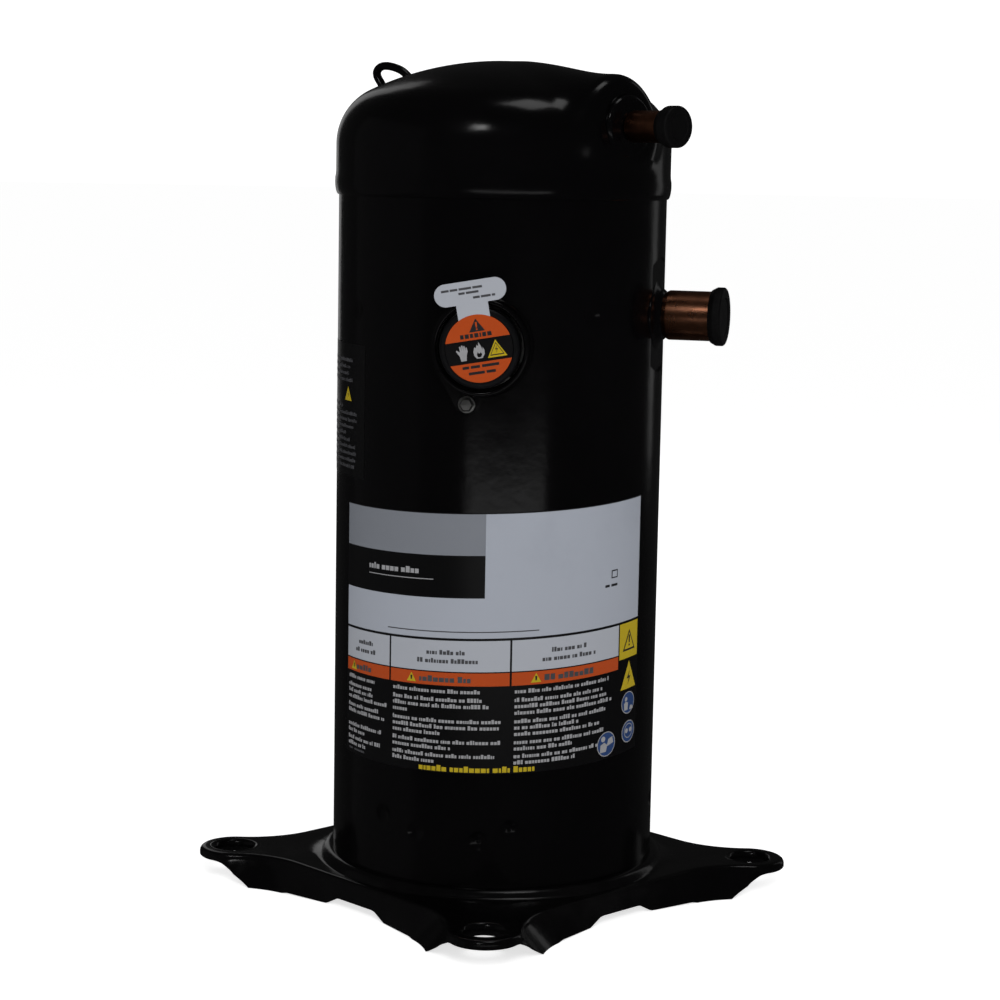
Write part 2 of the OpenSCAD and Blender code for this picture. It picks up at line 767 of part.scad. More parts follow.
module oldham_ring() {
    z = ring_floor + face_gap;
    color("#b9bcc0") {
        translate([0, 0, z]) ring(ring_r, ring_ir, ring_t);
        for (s = [0, 180]) rotate([0, 0, s]) {
            translate([key_r - key_l / 2, -key_w / 2, ring_floor - key_d]) cube([key_l, key_w, key_d + 2]);
            translate([-key_w / 2, key_r - key_l / 2, z + ring_t - 1]) cube([key_w, key_l, key_d + 1]);
        }
    }
}

module fixed_scroll() {
    port_r = 6;
    well_floor = flat_top - 6;
    hub_top = seal_top - 3;
    color("#74787d") {
        translate([0, 0, wrap_z + face_gap]) linear_extrude(floor_z - wrap_z) wrap_outline();
        difference() {
            union() {
                translate([0, 0, floor_z]) cylinder(r = rim_r, h = flat_t);
                translate([0, 0, wrap_z + 2 * face_gap]) ring(rim_r, rim_ir, floor_z - wrap_z);
                translate([0, 0, flat_top - 0.01]) {
                    ring(seal_r + run_fit + 4, seal_r + run_fit, hub_top - flat_top);
                    ring(seal_ir - run_fit, 12, hub_top - flat_top);
                }
                intersection() {
                    translate([0, 0, lug_z + face_gap]) cylinder(r = inner_r - 1, h = lug_t + 0.2);
                    at_posts() translate([rim_ir + 1, -10, lug_z]) cube([30, 20, lug_t + 1]);
                }
            }
            translate([0, 0, floor_z - cut]) cylinder(r = port_r, h = 60);
            translate([0, 0, well_floor]) ring(seal_r + run_fit, seal_ir - run_fit, 40);
            at_posts() translate([bolt_circle, 0, 0]) {
                translate([0, 0, lug_z - cut]) cylinder(r = sleeve_r + run_fit, h = 40);
                translate([0, 0, lug_z + lug_t + face_gap]) cylinder(r = 8, h = 40);
            }
            for (a = [suction_angle, suction_angle + 180]) rotate([0, 0, a])
                translate([rim_ir - 4, -16, wrap_z + 4]) cube([20, 32, wrap_h - 8]);
        }
    }
}

module scroll_bolts() {
    head_z = lug_z + lug_t + 2 * face_gap + lift;
    color("#4d5055") at_posts() translate([bolt_circle, 0, 0]) {
        translate([0, 0, ring_floor - 5]) cylinder(r = bolt_r, h = head_z - ring_floor + 5.01);
        translate([0, 0, head_z]) cylinder(r = 7.4, h = 1.6);
        translate([0, 0, head_z + 1.59]) cylinder(r = 7, h = 5.5, $fn = 6);
    }
}

module bolt_sleeves() {
    color("#90959a") at_posts() translate([bolt_circle, 0, lug_z + joint_gap])
        ring(sleeve_r, bolt_r + joint_gap, lug_t + lift + 2 * face_gap - 2 * joint_gap);
}

module floating_seal() {
    groove = 1.4;
    z = seal_top - seal_h;
    color("#8a6f4d") difference() {
        union() {
            translate([0, 0, z]) ring(seal_r, seal_ir, seal_h - 2);
            translate([0, 0, z]) ring(30, 26, seal_h);
        }
        translate([0, 0, z + 3]) ring(seal_ir + 2, seal_ir - cut, groove);
        translate([0, 0, z + 3]) ring(seal_r + cut, seal_r - 2, groove);
    }
}

module seal_rings() {
    z = seal_top - seal_h + 3 + joint_gap;
    t = 1.4 - 2 * joint_gap;
    color("#d9d4c4") translate([0, 0, z]) {
        ring(seal_ir + 2 - joint_gap, seal_ir, t);
        ring(seal_r, seal_r - 2 + joint_gap, t);
    }
}

module valve_disc() {
    color("#b0b4b8") translate([0, 0, seat_z + partition_t + face_gap])
        cylinder(r = valve_hole_r + disc_lap, h = valve_disc_t);
}

module valve_retainer() {
    travel = 3;
    r = valve_hole_r + disc_lap + run_fit;
    z = seat_z + partition_t + joint_gap;
    top = valve_disc_t + travel + 2 * face_gap;
    color("#5f6368") translate([0, 0, z]) difference() {
        cylinder(r = r + 3, h = top + 2);
        translate([0, 0, -cut]) cylinder(r = r, h = top + cut);
        cylinder(r = 4, h = 20);
        for (k = [0 : 3]) rotate([0, 0, 90 * k]) translate([r - 4, -5, 2]) cube([20, 10, travel - 0.8]);
    }
}

// Relief valve in the partition: the ball is pushed up onto its seat by a spring
module at_relief() {
    rotate([0, 0, relief_angle]) translate([relief_circle, 0, seat_z]) children();
}

module relief_valve_body() {
    color("#b8a05a") at_relief() difference() {
        union() {
            translate([0, 0, -9]) cylinder(r = relief_r - joint_gap, h = 14);
            translate([0, 0, 3 + joint_gap]) cylinder(r = 7.5, h = 3.5, $fn = 6);
        }
        translate([0, 0, -7.5]) cylinder(r = relief_bore, h = 11);
        translate([0, 0, -20]) cylinder(r = 1.4, h = 40);
    }
}

module relief_valve_ball() {
    color("#c9ccd0") at_relief() translate([0, 0, 3.5 - ball_r - face_gap]) sphere(r = ball_r);
}

module relief_valve_spring() {
    coil_r = 2.3;
    turns = 4;
    low = -7.5 + 0.45;
    high = 3.5 - 2 * ball_r - face_gap - 0.45;
    steps = 12 * turns;
    color("#8f949a") at_relief() swept([for (i = [0 : steps])
        [coil_r * cos(30 * i), coil_r * sin(30 * i), low + (high - low) * i / steps]], 0.35, 6);
}

module thermal_disc() {
    color("#c2a24b") rotate([0, 0, thermal_angle]) translate([thermal_circle, 0, seat_z + partition_t]) {
        translate([0, 0, joint_gap]) cylinder(r = 7, h = 0.8);
        translate([0, 0, joint_gap - 2]) cylinder(r = 2.5, h = 2.01);
    }
}

// Half ring that balances the orbiting mass, on the side given by a
module half_weight(r_out, r_in, h, a) {
    rotate([0, 0, a]) intersection() {
        ring(r_out, r_in, h);
        translate([-r_out - cut, 0, -cut]) cube([2 * r_out + 2 * cut, r_out + cut, h + 2 * cut]);
    }
}

module upper_counterweight() {
    z = stator_top + end_ring_h + 2.5;
    color("#6f7378") translate([0, 0, z]) {
        ring(journal_r + 5, journal_r + joint_gap, 10);
        half_weight(36, journal_r + joint_gap, 24, 180);
    }
}

module lower_counterweight() {
    h = 10;
    color("#b39b5e") translate([0, 0, stator_z - end_ring_h - 2 - h]) {
        ring(journal_r + 4, journal_r + joint_gap, h);
        half_weight(36, journal_r + joint_gap, h, 0);
    }
}

// Bore of radius r right through the stack
module stack_bore(r) {
    translate([0, 0, -cut]) cylinder(r = r, h = stack_l + 2 * cut);
}

// Copies round the axis, at the rotor bars or at the stator slots
module round_axis(n) {
    for (k = [0 : n - 1]) rotate([0, 0, 360 * k / n]) children();
}

module rotor_core() {
    color("#5b6066") translate([0, 0, stator_z]) difference() {
        cylinder(r = rotor_r, h = stack_l);
        stack_bore(journal_r + joint_gap);
        round_axis(bars) translate([bar_circle, 0, 0]) stack_bore(bar_r + joint_gap);
    }
}

module rotor_cage() {
    color("#c3c6ca") translate([0, 0, stator_z]) {
        for (z = [-end_ring_h - joint_gap, stack_l + joint_gap]) translate([0, 0, z])
            ring(bar_circle + bar_r + 1, 25, end_ring_h);
        round_axis(bars) translate([bar_circle, 0, -1]) cylinder(r = bar_r, h = stack_l + 2);
    }
}

module stator_core() {
    flat = inner_r - 4;
    mouth_w = 2.4;
    through = stack_l + 2 * cut;
    color("#5b6066") translate([0, 0, stator_z]) difference() {
        cylinder(r = inner_r, h = stack_l);
        stack_bore(stator_bore_r);
        round_axis(slots) {
            translate([slot_in, -slot_w / 2, -cut]) cube([slot_out - slot_in, slot_w, through]);
            translate([stator_bore_r - cut, -mouth_w / 2, -cut])
                cube([slot_in - stator_bore_r + 2 * cut, mouth_w, through]);
        }
        for (k = [0 : 3]) rotate([0, 0, 45 + 90 * k]) translate([flat, -shell_r / 2, -cut])
            cube([20, shell_r, through]);
    }
}

module stator_winding() {
    round = 8;
    wire_w = slot_w - 1;
    color("#a8572c") translate([0, 0, stator_z]) {
        for (z = [-coil_gap - coil_h, stack_l + coil_gap]) translate([0, 0, z]) rotate_extrude()
            polygon(concat(
                arc([coil_in + round, round], round, 180, 270, 4),
                arc([coil_out - round, round], round, 270, 360, 4),
                arc([coil_out - round, coil_h - round], round, 0, 90, 4),
                arc([coil_in + round, coil_h - round], round, 90, 180, 4)
            ));
        round_axis(slots) translate([slot_in + 5, -wire_w / 2, -coil_gap - 3])
            cube([slot_out - slot_in - 6, wire_w, stack_l + 2 * coil_gap + 6]);
    }
}

module slot_liners() {
    t = 0.3;
    out = 1.5;
    width = slot_w - 2 * joint_gap;
    length = stack_l + 2 * out;
    far = slot_out - joint_gap;
    color("#e6dfc0") translate([0, 0, stator_z - out]) round_axis(slots) difference() {
        translate([slot_in + 4, -width / 2, 0]) cube([far - slot_in - 4, width, length]);
        translate([slot_in, -width / 2 + t, -cut])
            cube([far - t - slot_in, width - 2 * t, length + 2 * cut]);
    }
}

module overload_protector() {
    r = 5;
    z = stator_top + coil_gap + coil_h + r + joint_gap;
    color("#2f3236") rotate([0, 0, 150]) translate([58, -12, z])
        rotate([-90, 0, 0]) {
            cylinder(r = r, h = 24);
            translate([0, 0, -3]) cylinder(r = 2, h = 30);
        }
}

module inner_connector() {
    color("#7a2f26") difference() {
        outwards(terminal_angle, terminal_z, shell_ir - 17) translate([-13, -11, 0]) cube([26, 24, 10.5]);
        outwards(terminal_angle, terminal_z, shell_ir - 20) at_pins()
            cylinder(r = terminal_pin_r + joint_gap, h = 30);
    }
}

// Three leads from the connector down to the upper end of the winding
module lead_wires() {
    end_gap = 0.7;
    top = terminal_z - 11 - end_gap;
    low = stator_top + coil_gap + coil_h + end_gap;
    top_r = shell_ir - 12.55;
    low_r = 62;
    color("#e8e4da") rotate([0, 0, terminal_angle]) for (k = [-1, 0, 1])
        swept([for (i = [0 : 8]) let (s = i / 8)
            [top_r + (low_r - top_r) * s * s, k * (7 + 6 * sin(180 * s)), top + (low - top) * s]], 1.5, 8);
}

module lower_bracket() {
    arm_w = 22;
    arm_t = 8;
    color("#6d7176") difference() {
        union() {
            translate([0, 0, bracket_z]) cylinder(r = 20, h = bracket_h);
            translate([0, 0, bracket_z - 4]) ring(inner_r, inner_r - 3, 16);
            intersection() {
                translate([0, 0, bracket_z]) cylinder(r = inner_r - 1, h = arm_t);
                for (k = [0 : 2]) rotate([0, 0, -60 + 120 * k])
                    translate([10, -arm_w / 2, bracket_z]) cube([inner_r, arm_w, arm_t]);
            }
        }
        translate([0, 0, bracket_floor]) cylinder(r = lower_bush_or + joint_gap, h = bracket_h);
        translate([0, 0, bracket_z - cut]) cylinder(r = 6.5, h = 10);
    }
}

module lower_bush() {
    bottom = bracket_floor + washer_t + joint_gap;
    color("#a9825a") translate([0, 0, bottom])
        ring(lower_bush_or, lower_journal_r + run_fit, bracket_z + bracket_h - bottom);
}

module thrust_washer() {
    color("#9da3a8") translate([0, 0, bracket_floor + joint_gap])
        ring(lower_bush_or, 6.5, washer_t - joint_gap);
}

module oil_tube() {
    color("#b0b4b8") translate([0, 0, tube_foot]) ring(5, 3.4, shaft_bottom + tube_grip - tube_foot);
}

module sump_magnet() {
    color("#4a4c50") translate([34, 0, 8.4]) cylinder(r = 9, h = 4);
}

shell_tube();
top_cap();
bottom_cap();
base_plate();
lifting_eye();
partition_plate();
suction_boss();
suction_stub();
suction_stub_cap();
discharge_boss();
discharge_stub();
discharge_stub_cap();
terminal_body();
terminal_pins();
terminal_glass();
terminal_fence();
terminal_cover();
cover_label();
ground_bracket();
ground_screw();
main_label();
side_label();
suction_baffle();
bearing_housing();
main_bush();
thrust_plate();
crankshaft();
drive_bush();
hub_bush();
orbiting_scroll();
oldham_ring();
fixed_scroll();
scroll_bolts();
bolt_sleeves();
floating_seal();
seal_rings();
valve_disc();
valve_retainer();
relief_valve_body();
relief_valve_ball();
relief_valve_spring();
thermal_disc();
upper_counterweight();
lower_counterweight();
rotor_core();
rotor_cage();
stator_core();
stator_winding();
slot_liners();
overload_protector();
lead_wires();
inner_connector();
lower_bracket();
lower_bush();
thrust_washer();
oil_tube();
sump_magnet();
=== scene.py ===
import math
import bmesh
import bpy
import numpy as np
from mathutils import Matrix, Vector


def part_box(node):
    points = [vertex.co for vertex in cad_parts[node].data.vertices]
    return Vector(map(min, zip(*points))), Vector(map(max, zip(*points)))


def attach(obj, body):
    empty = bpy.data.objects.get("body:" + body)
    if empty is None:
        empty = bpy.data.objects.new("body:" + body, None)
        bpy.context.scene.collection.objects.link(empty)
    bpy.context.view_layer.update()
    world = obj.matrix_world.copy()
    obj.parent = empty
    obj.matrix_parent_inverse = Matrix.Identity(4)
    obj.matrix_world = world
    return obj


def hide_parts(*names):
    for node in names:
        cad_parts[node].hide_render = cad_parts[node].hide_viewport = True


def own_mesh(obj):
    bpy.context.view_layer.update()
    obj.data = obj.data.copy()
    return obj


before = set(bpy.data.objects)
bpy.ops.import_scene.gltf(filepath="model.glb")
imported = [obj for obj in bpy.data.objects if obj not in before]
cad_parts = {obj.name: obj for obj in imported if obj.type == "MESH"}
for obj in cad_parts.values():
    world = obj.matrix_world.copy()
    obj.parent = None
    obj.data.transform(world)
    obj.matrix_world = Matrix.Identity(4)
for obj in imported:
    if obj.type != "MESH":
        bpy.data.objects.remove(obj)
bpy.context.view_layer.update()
MM = 0.001

# ---------------------------------------------------------------- sizes, in millimetres and degrees
H = 422.0
SHELL_R = 82.55
CAP_R = 84.15
PLATE_Z = 15.0
SUCTION_A, SUCTION_Z = 30.0, H - 124
DISCHARGE_A, DISCHARGE_Z = 0.0, H - 32
TERMINAL_A, TERMINAL_Z = -50.0, H - 137
EYE_A = -160.0
HOLE = 95.25
CROWN_R, KNUCKLE_R = 155.0, 30.0
CROWN_Z = H - CROWN_R
KNUCKLE_X = CAP_R - KNUCKLE_R
KNUCKLE_Z = CROWN_Z + math.sqrt((CROWN_R - KNUCKLE_R) ** 2 - KNUCKLE_X ** 2)
CAP_RIM = H - 67.5


# ---------------------------------------------------------------- materials
def material(name, colour, rough=0.4, metal=0.0, vary=0.12, rough_vary=0.08, grain=60.0, bump=0.02,
             bump_grain=400.0, coat=0.0, spec=0.5, dark=None, dark_grain=14.0, dark_at=(0.55, 0.75)):
    """Colour and roughness vary with noise, bump is finer noise, and dark is a second colour in patches."""
    m = bpy.data.materials.new(name)
    m.use_nodes = True
    nodes, link = m.node_tree.nodes, m.node_tree.links.new
    shader = nodes["Principled BSDF"]
    coords = nodes.new("ShaderNodeTexCoord")

    def noise(scale, detail, roughness=0.55):
        n = nodes.new("ShaderNodeTexNoise")
        n.inputs["Scale"].default_value = scale
        n.inputs["Detail"].default_value = detail
        n.inputs["Roughness"].default_value = roughness
        link(coords.outputs["Object"], n.inputs["Vector"])
        return n.outputs["Fac"]

    def mixed(factor, a=None, b=None):
        n = nodes.new("ShaderNodeMix")
        n.data_type = "RGBA"
        link(factor, n.inputs["Factor"])
        for socket, value in (("A", a), ("B", b)):
            if value:
                n.inputs[socket].default_value = (*value, 1)
        return n

    def mapped(factor, **limits):
        n = nodes.new("ShaderNodeMapRange")
        for socket, value in limits.items():
            n.inputs[socket.replace("_", " ")].default_value = value
        link(factor, n.inputs["Value"])
        return n.outputs["Result"]

    low = [max(0.0, c * (1 - vary)) for c in colour]
    high = [min(1.0, c * (1 + vary)) for c in colour]
    tone = mixed(noise(grain, 4.0), low, high).outputs["Result"]
    if dark:
        patches = mapped(noise(dark_grain, 6.0, 0.65), From_Min=dark_at[0], From_Max=dark_at[1])
        over = mixed(patches, b=dark)
        link(tone, over.inputs["A"])
        tone = over.outputs["Result"]
    link(tone, shader.inputs["Base Color"])
    gloss = mapped(noise(grain * 1.7, 3.0), To_Min=max(0.02, rough - rough_vary),
                   To_Max=min(1.0, rough + rough_vary))
    link(gloss, shader.inputs["Roughness"])
    if bump:
        b = nodes.new("ShaderNodeBump")
        b.inputs["Strength"].default_value = min(1.0, bump * 10)
        b.inputs["Distance"].default_value = bump * MM * 2
        link(noise(bump_grain, 2.0), b.inputs["Height"])
        link(b.outputs["Normal"], shader.inputs["Normal"])
    shader.inputs["Metallic"].default_value = metal
    shader.inputs["Specular IOR Level"].default_value = spec
    shader.inputs["Coat Weight"].default_value = coat
    shader.inputs["Coat Roughness"].default_value = 0.12
    return m


def film(name, colour, rough=0.42, vary=0.05, **looks):
    return material(name, colour, rough, vary=vary, bump=0.012, bump_grain=500, **looks)


def ink(name, colour, vary, grain):
    return material(name, colour, 0.5, vary=vary, rough_vary=0.06, grain=grain, bump=0.0)


PAINT = material("black_paint", (0.0009, 0.0008, 0.0010), 0.17, vary=0.3, rough_vary=0.07, grain=26, bump=0.06,
                 bump_grain=120, dark=(0.0018, 0.0016, 0.0019), dark_grain=9, dark_at=(0.5, 0.8))
PLATE = material("plate_paint", (0.0011, 0.0010, 0.0012), 0.19, vary=0.35, rough_vary=0.1, grain=42, bump=0.09,
                 bump_grain=110, spec=0.6, dark=(0.0036, 0.0034, 0.0036), dark_grain=16)
COPPER = material("copper", (0.56, 0.235, 0.13), 0.30, metal=1.0, vary=0.22, rough_vary=0.12, grain=90,
                  bump=0.03, bump_grain=300, dark=(0.20, 0.075, 0.045), dark_grain=42, dark_at=(0.46, 0.78))
RUBBER = material("rubber", (0.0022, 0.0021, 0.0023), 0.55, vary=0.25, rough_vary=0.1, grain=120, bump=0.04,
                  bump_grain=700, spec=0.35)
PLASTIC = material("black_plastic", (0.0025, 0.0025, 0.003), 0.34, vary=0.2, grain=150, bump=0.03,
                   bump_grain=900, spec=0.4)
STEEL = material("zinc_steel", (0.42, 0.42, 0.41), 0.32, metal=1.0, vary=0.15, rough_vary=0.12, grain=200,
                 bump_grain=900, dark=(0.18, 0.17, 0.16), dark_grain=120)
BRASS = material("bronze", (0.45, 0.30, 0.13), 0.35, metal=1.0, vary=0.1, grain=150, dark=(0.2, 0.12, 0.05))
IRON = material("iron", (0.12, 0.12, 0.125), 0.5, metal=0.8, vary=0.2, grain=150, bump=0.08, bump_grain=600)
ALUMINIUM = material("aluminium", (0.6, 0.61, 0.63), 0.38, metal=1.0, vary=0.08, grain=120)
WINDING = material("winding", (0.36, 0.13, 0.06), 0.35, metal=0.7, vary=0.2, grain=300, bump=0.1,
                   bump_grain=900)
CREAM = material("insulation", (0.62, 0.57, 0.42), 0.6, vary=0.08, grain=100)
GLASS = material("fused_glass", (0.12, 0.28, 0.2), 0.15, vary=0.15, grain=200, coat=0.5)
RED = material("red_plastic", (0.16, 0.03, 0.02), 0.45, vary=0.1, grain=150)
SILVER_FILM = film("silver_film", (0.290, 0.310, 0.355), vary=0.035, grain=22, spec=0.4,
                   dark=(0.262, 0.280, 0.322), dark_grain=12)
GREY_FILM = film("grey_film", (0.152, 0.163, 0.186), grain=25)
WHITE_FILM = film("white_film", (0.31, 0.325, 0.36), 0.40, vary=0.03, grain=25)
BLACK_FILM = film("black_film", (0.0026, 0.0025, 0.0028), 0.3, vary=0.15, rough_vary=0.07, grain=30, spec=0.45)
ORANGE_FILM = film("orange_film", (0.34, 0.044, 0.002), grain=40, spec=0.2)
AMBER_FILM = film("amber_film", (0.34, 0.044, 0.002), spec=0.2)
YELLOW_FILM = film("yellow_film", (0.36, 0.265, 0.003), spec=0.2)
BLUE_FILM = film("blue_film", (0.013, 0.038, 0.125), vary=0.06, spec=0.25)
INK = ink("dark_ink", (0.012, 0.012, 0.014), 0.2, 200)
PALE_INK = ink("pale_ink", (0.24, 0.24, 0.25), 0.12, 300)
DIM_INK = ink("dim_ink", (0.045, 0.045, 0.05), 0.3, 300)


def paint(ob, m):
    ob.data.materials.clear()
    ob.data.materials.append(m)


# ---------------------------------------------------------------- mesh helpers
def add(name, verts, faces, m, body="shell", smooth=True, angle=35.0, slot=None):
    """A piece from points in millimetres, which rides on body. Edges sharper than angle stay sharp."""
    mesh = bpy.data.meshes.new(name)
    mesh.from_pydata([tuple(c * MM for c in v) for v in verts], [], faces)
    mesh.validate()
    mesh.materials.append(m)
    ob = bpy.data.objects.new(name, mesh)
    bpy.context.scene.collection.objects.link(ob)
    bm = bmesh.new()
    bm.from_mesh(mesh)
    bmesh.ops.remove_doubles(bm, verts=bm.verts, dist=1e-6)
    bmesh.ops.recalc_face_normals(bm, faces=bm.faces)
    if smooth:
        limit = math.radians(angle)
        for f in bm.faces:
            f.smooth = True
        for e in bm.edges:
            if len(e.link_faces) == 2 and e.calc_face_angle(0.0) > limit:
                e.smooth = False
    bm.to_mesh(mesh)
    bm.free()
    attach(ob, body)
    return ob


def place(a, z, turn=0.0):
    """Axes at angle a and height z: x runs along the shell's rim, y up, and z outwards. turn turns x and y."""
    r, t = math.radians(a), math.radians(turn)
    out = Vector((math.cos(r), math.sin(r), 0))
    side = Vector((-math.sin(r), math.cos(r), 0))
    up = Vector((0, 0, 1))
    x = side * math.cos(t) + up * math.sin(t)
    y = up * math.cos(t) - side * math.sin(t)
    base = up * z
    return lambda p: tuple(base + x * p[0] + y * p[1] + out * p[2])


def rounded(profile, radius, n=4):
    """Rounds the inner corners of an open profile by radius."""
    out = [profile[0]]
    for i in range(1, len(profile) - 1):
        p, c, q = (np.array(v, float) for v in profile[i - 1:i + 2])
        d1, d2 = np.linalg.norm(p - c), np.linalg.norm(q - c)
        r = min(radius, d1 * 0.45, d2 * 0.45)
        a, b = c + (p - c) / d1 * r, c + (q - c) / d2 * r
        for k in range(n + 1):
            t = k / n
            out.append(tuple((1 - t) ** 2 * a + 2 * t * (1 - t) * c + t * t * b))
    out.append(profile[-1])
    return out


def lathe(name, profile, where, m, body="shell", seg=96, radius=0.5, closed=True, **kw):
    """Turns a profile of (radius, height) about the local z axis. closed joins its ends."""
    prof = rounded(profile, radius) if radius else list(profile)
    verts, faces = [], []
    n = len(prof)
    for k in range(seg):
        c, s = math.cos(2 * math.pi * k / seg), math.sin(2 * math.pi * k / seg)
        verts += [where((r * c, r * s, h)) for r, h in prof]
    for k in range(seg):
        a, b = k * n, ((k + 1) % seg) * n
        for i in range(n - 1):
            faces.append((a + i, b + i, b + i + 1, a + i + 1))
        if closed:
            faces.append((a + n - 1, b + n - 1, b, a))
    return add(name, verts, faces, m, body, **kw)


def tube(name, path, radius, m, sides=20, flat=1.0, axis=(0, 0, 1), **kw):
    """A bar swept along path. flat is its thickness along axis, as a share of its width."""
    pts = [Vector(p) for p in path]
    last = len(pts) - 1
    verts, faces = [], []
    for i, p in enumerate(pts):
        d = (pts[min(i + 1, last)] - pts[max(i - 1, 0)]).normalized()
        u = d.cross(Vector(axis)).normalized()
        w = u.cross(d).normalized()
        for k in range(sides):
            t = 2 * math.pi * k / sides
            verts.append(tuple(p + u * radius * math.cos(t) + w * radius * flat * math.sin(t)))
    for i in range(last):
        for k in range(sides):
            a, b = i * sides + k, i * sides + (k + 1) % sides
            faces.append((a, b, b + sides, a + sides))
    faces.append(tuple(range(sides))[::-1])
    faces.append(tuple(range(last * sides, (last + 1) * sides)))
    return add(name, verts, faces, m, **kw)


# ---------------------------------------------------------------- domed cap with its blended shoulder
def dome_distance(p):
    r = np.hypot(p[:, 0], p[:, 1])
    z = p[:, 2]
    slope = (z - CROWN_Z) / np.maximum(r, 1e-6)
    limit = (KNUCKLE_Z - CROWN_Z) / KNUCKLE_X
    crown = np.hypot(r, z - CROWN_Z) - CROWN_R
    knuckle = np.hypot(r - KNUCKLE_X, z - KNUCKLE_Z) - KNUCKLE_R
    side = r - CAP_R
    return np.where(slope > limit, crown, np.where(z > KNUCKLE_Z, knuckle, side))


def shoulder_distance(p):
    """The shoulder is a cylinder with round edges, which lies along X round the discharge stub."""
    edge, shoulder_r = 8.0, 25.0
    end, start = CAP_R - 0.6, 10.0
    q1 = np.hypot(p[:, 1], p[:, 2] - DISCHARGE_Z) - (shoulder_r - edge)
    q2 = np.abs(p[:, 0] - (end + start) / 2) - ((end - start) / 2 - edge)
    return np.hypot(np.maximum(q1, 0), np.maximum(q2, 0)) + np.minimum(np.maximum(q1, q2), 0) - edge


def cap_distance(p):
    """Dome and shoulder run into each other over the width blend."""
    a, b = dome_distance(p), shoulder_distance(p)
    blend = 11.0
    h = np.maximum(blend - np.abs(a - b), 0) / blend
    return np.minimum(a, b) - h * h * blend / 4


def cap_piece():
    """Rays from a point inside the cap walk out to its surface, and its side, bead and rim follow below."""
    seg, rows, steps, stride, first = 480, 150, 90, 0.8, 40.0
    low = KNUCKLE_Z - 6.0
    centre = np.array([0, 0, low])
    phi = np.linspace(0, 2 * math.pi, seg, endpoint=False)
    el = np.linspace(0.0, math.pi / 2, rows + 1)[:-1]
    P, E = np.meshgrid(phi, el)
    d = np.stack([np.cos(E) * np.cos(P), np.cos(E) * np.sin(P), np.sin(E)], -1).reshape(-1, 3)
    t = np.full(len(d), first)
    for _ in range(steps):
        t -= cap_distance(centre + d * t[:, None]) * stride
    verts = [tuple(v) for v in centre + d * t[:, None]]
    faces = []
    for i in range(rows - 1):
        for k in range(seg):
            a, b = i * seg + k, i * seg + (k + 1) % seg
            faces.append((a, b, b + seg, a + seg))
    top = len(verts)
    verts.append((0, 0, H))
    for k in range(seg):
        faces.append(((rows - 1) * seg + k, (rows - 1) * seg + (k + 1) % seg, top))
    bead = [(0, 12), (0.15, 10.2), (0.42, 8.6), (0.5, 6.6), (0.42, 4.6), (0.1, 2.8), (-0.3, 1.2), (-0.8, 0.3)]
    rings = [(CAP_R, low - 4)] + [(CAP_R + out, CAP_RIM + up) for out, up in bead]
    rings.append((SHELL_R + 0.02, CAP_RIM))
    above = 0
    for r, z in rings:
        start = len(verts)
        for k in range(seg):
            verts.append((r * math.cos(phi[k]), r * math.sin(phi[k]), z))
        for k in range(seg):
            faces.append((above + k, above + (k + 1) % seg, start + (k + 1) % seg, start + k))
        above = start
    ob = add("cap_dome", verts, faces, PAINT, slot="black_paint", angle=60)
    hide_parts("top_cap")


# ---------------------------------------------------------------- pressed base plate
SIDE = SHELL_R + 10.5
EAR_R, BLEND_R = 18.0, 45.0
BLEND_Y = SIDE + BLEND_R
RISE = BLEND_Y - HOLE
RUN = math.sqrt((EAR_R + BLEND_R) ** 2 - RISE ** 2)
BLEND_X = HOLE - RUN
BLEND_TO = math.degrees(math.atan2(RUN, -RISE))


def arc(c, r, a, b, n):
    turns = [math.radians(a + (b - a) * i / n) for i in range(n + 1)]
    return [(c[0] + r * math.cos(t), c[1] + r * math.sin(t)) for t in turns]


def outline():
    """The plate's edge: a straight side, a blend, an ear and the next blend, four times round."""
    straight = 40
    quarter = [(SIDE, -BLEND_X + 2 * BLEND_X * i / straight) for i in range(straight)]
    quarter += arc((BLEND_Y, BLEND_X), BLEND_R, 180, BLEND_TO, 36)[:-1]
    quarter += arc((HOLE, HOLE), EAR_R, BLEND_TO - 180, 270 - BLEND_TO, 60)
    quarter += arc((BLEND_X, BLEND_Y), BLEND_R, 90 - BLEND_TO, -90, 36)[1:-1]
    out = []
    for k in range(4):
        c, s = round(math.cos(k * math.pi / 2)), round(math.sin(k * math.pi / 2))
        out += [(x * c - y * s, x * s + y * c) for x, y in quarter]
    return np.array(out)


def smoothstep(a, b, x):
    t = min(1.0, max(0.0, (x - a) / (b - a)))
    return t * t * (3 - 2 * t)


# the skirt's flare and the height of its foot, by the distance from the middle of a side
FLARE_AT = [(0, 1.0), (14.3, 1.0), (24, 1.6), (48, 7.0), (68, 10.6), (78, 6.5), (84, 1.6), (88, 0.0),
            (200, 0.0)]
FOOT_AT = [(0, 4.4), (14.0, 4.4), (22.5, 0.0), (47, 0.7), (50, 0.0), (68, 0.0), (86, 9.8), (90, 10.4),
           (200, 10.4)]
SKIRT_TOP = 12.4


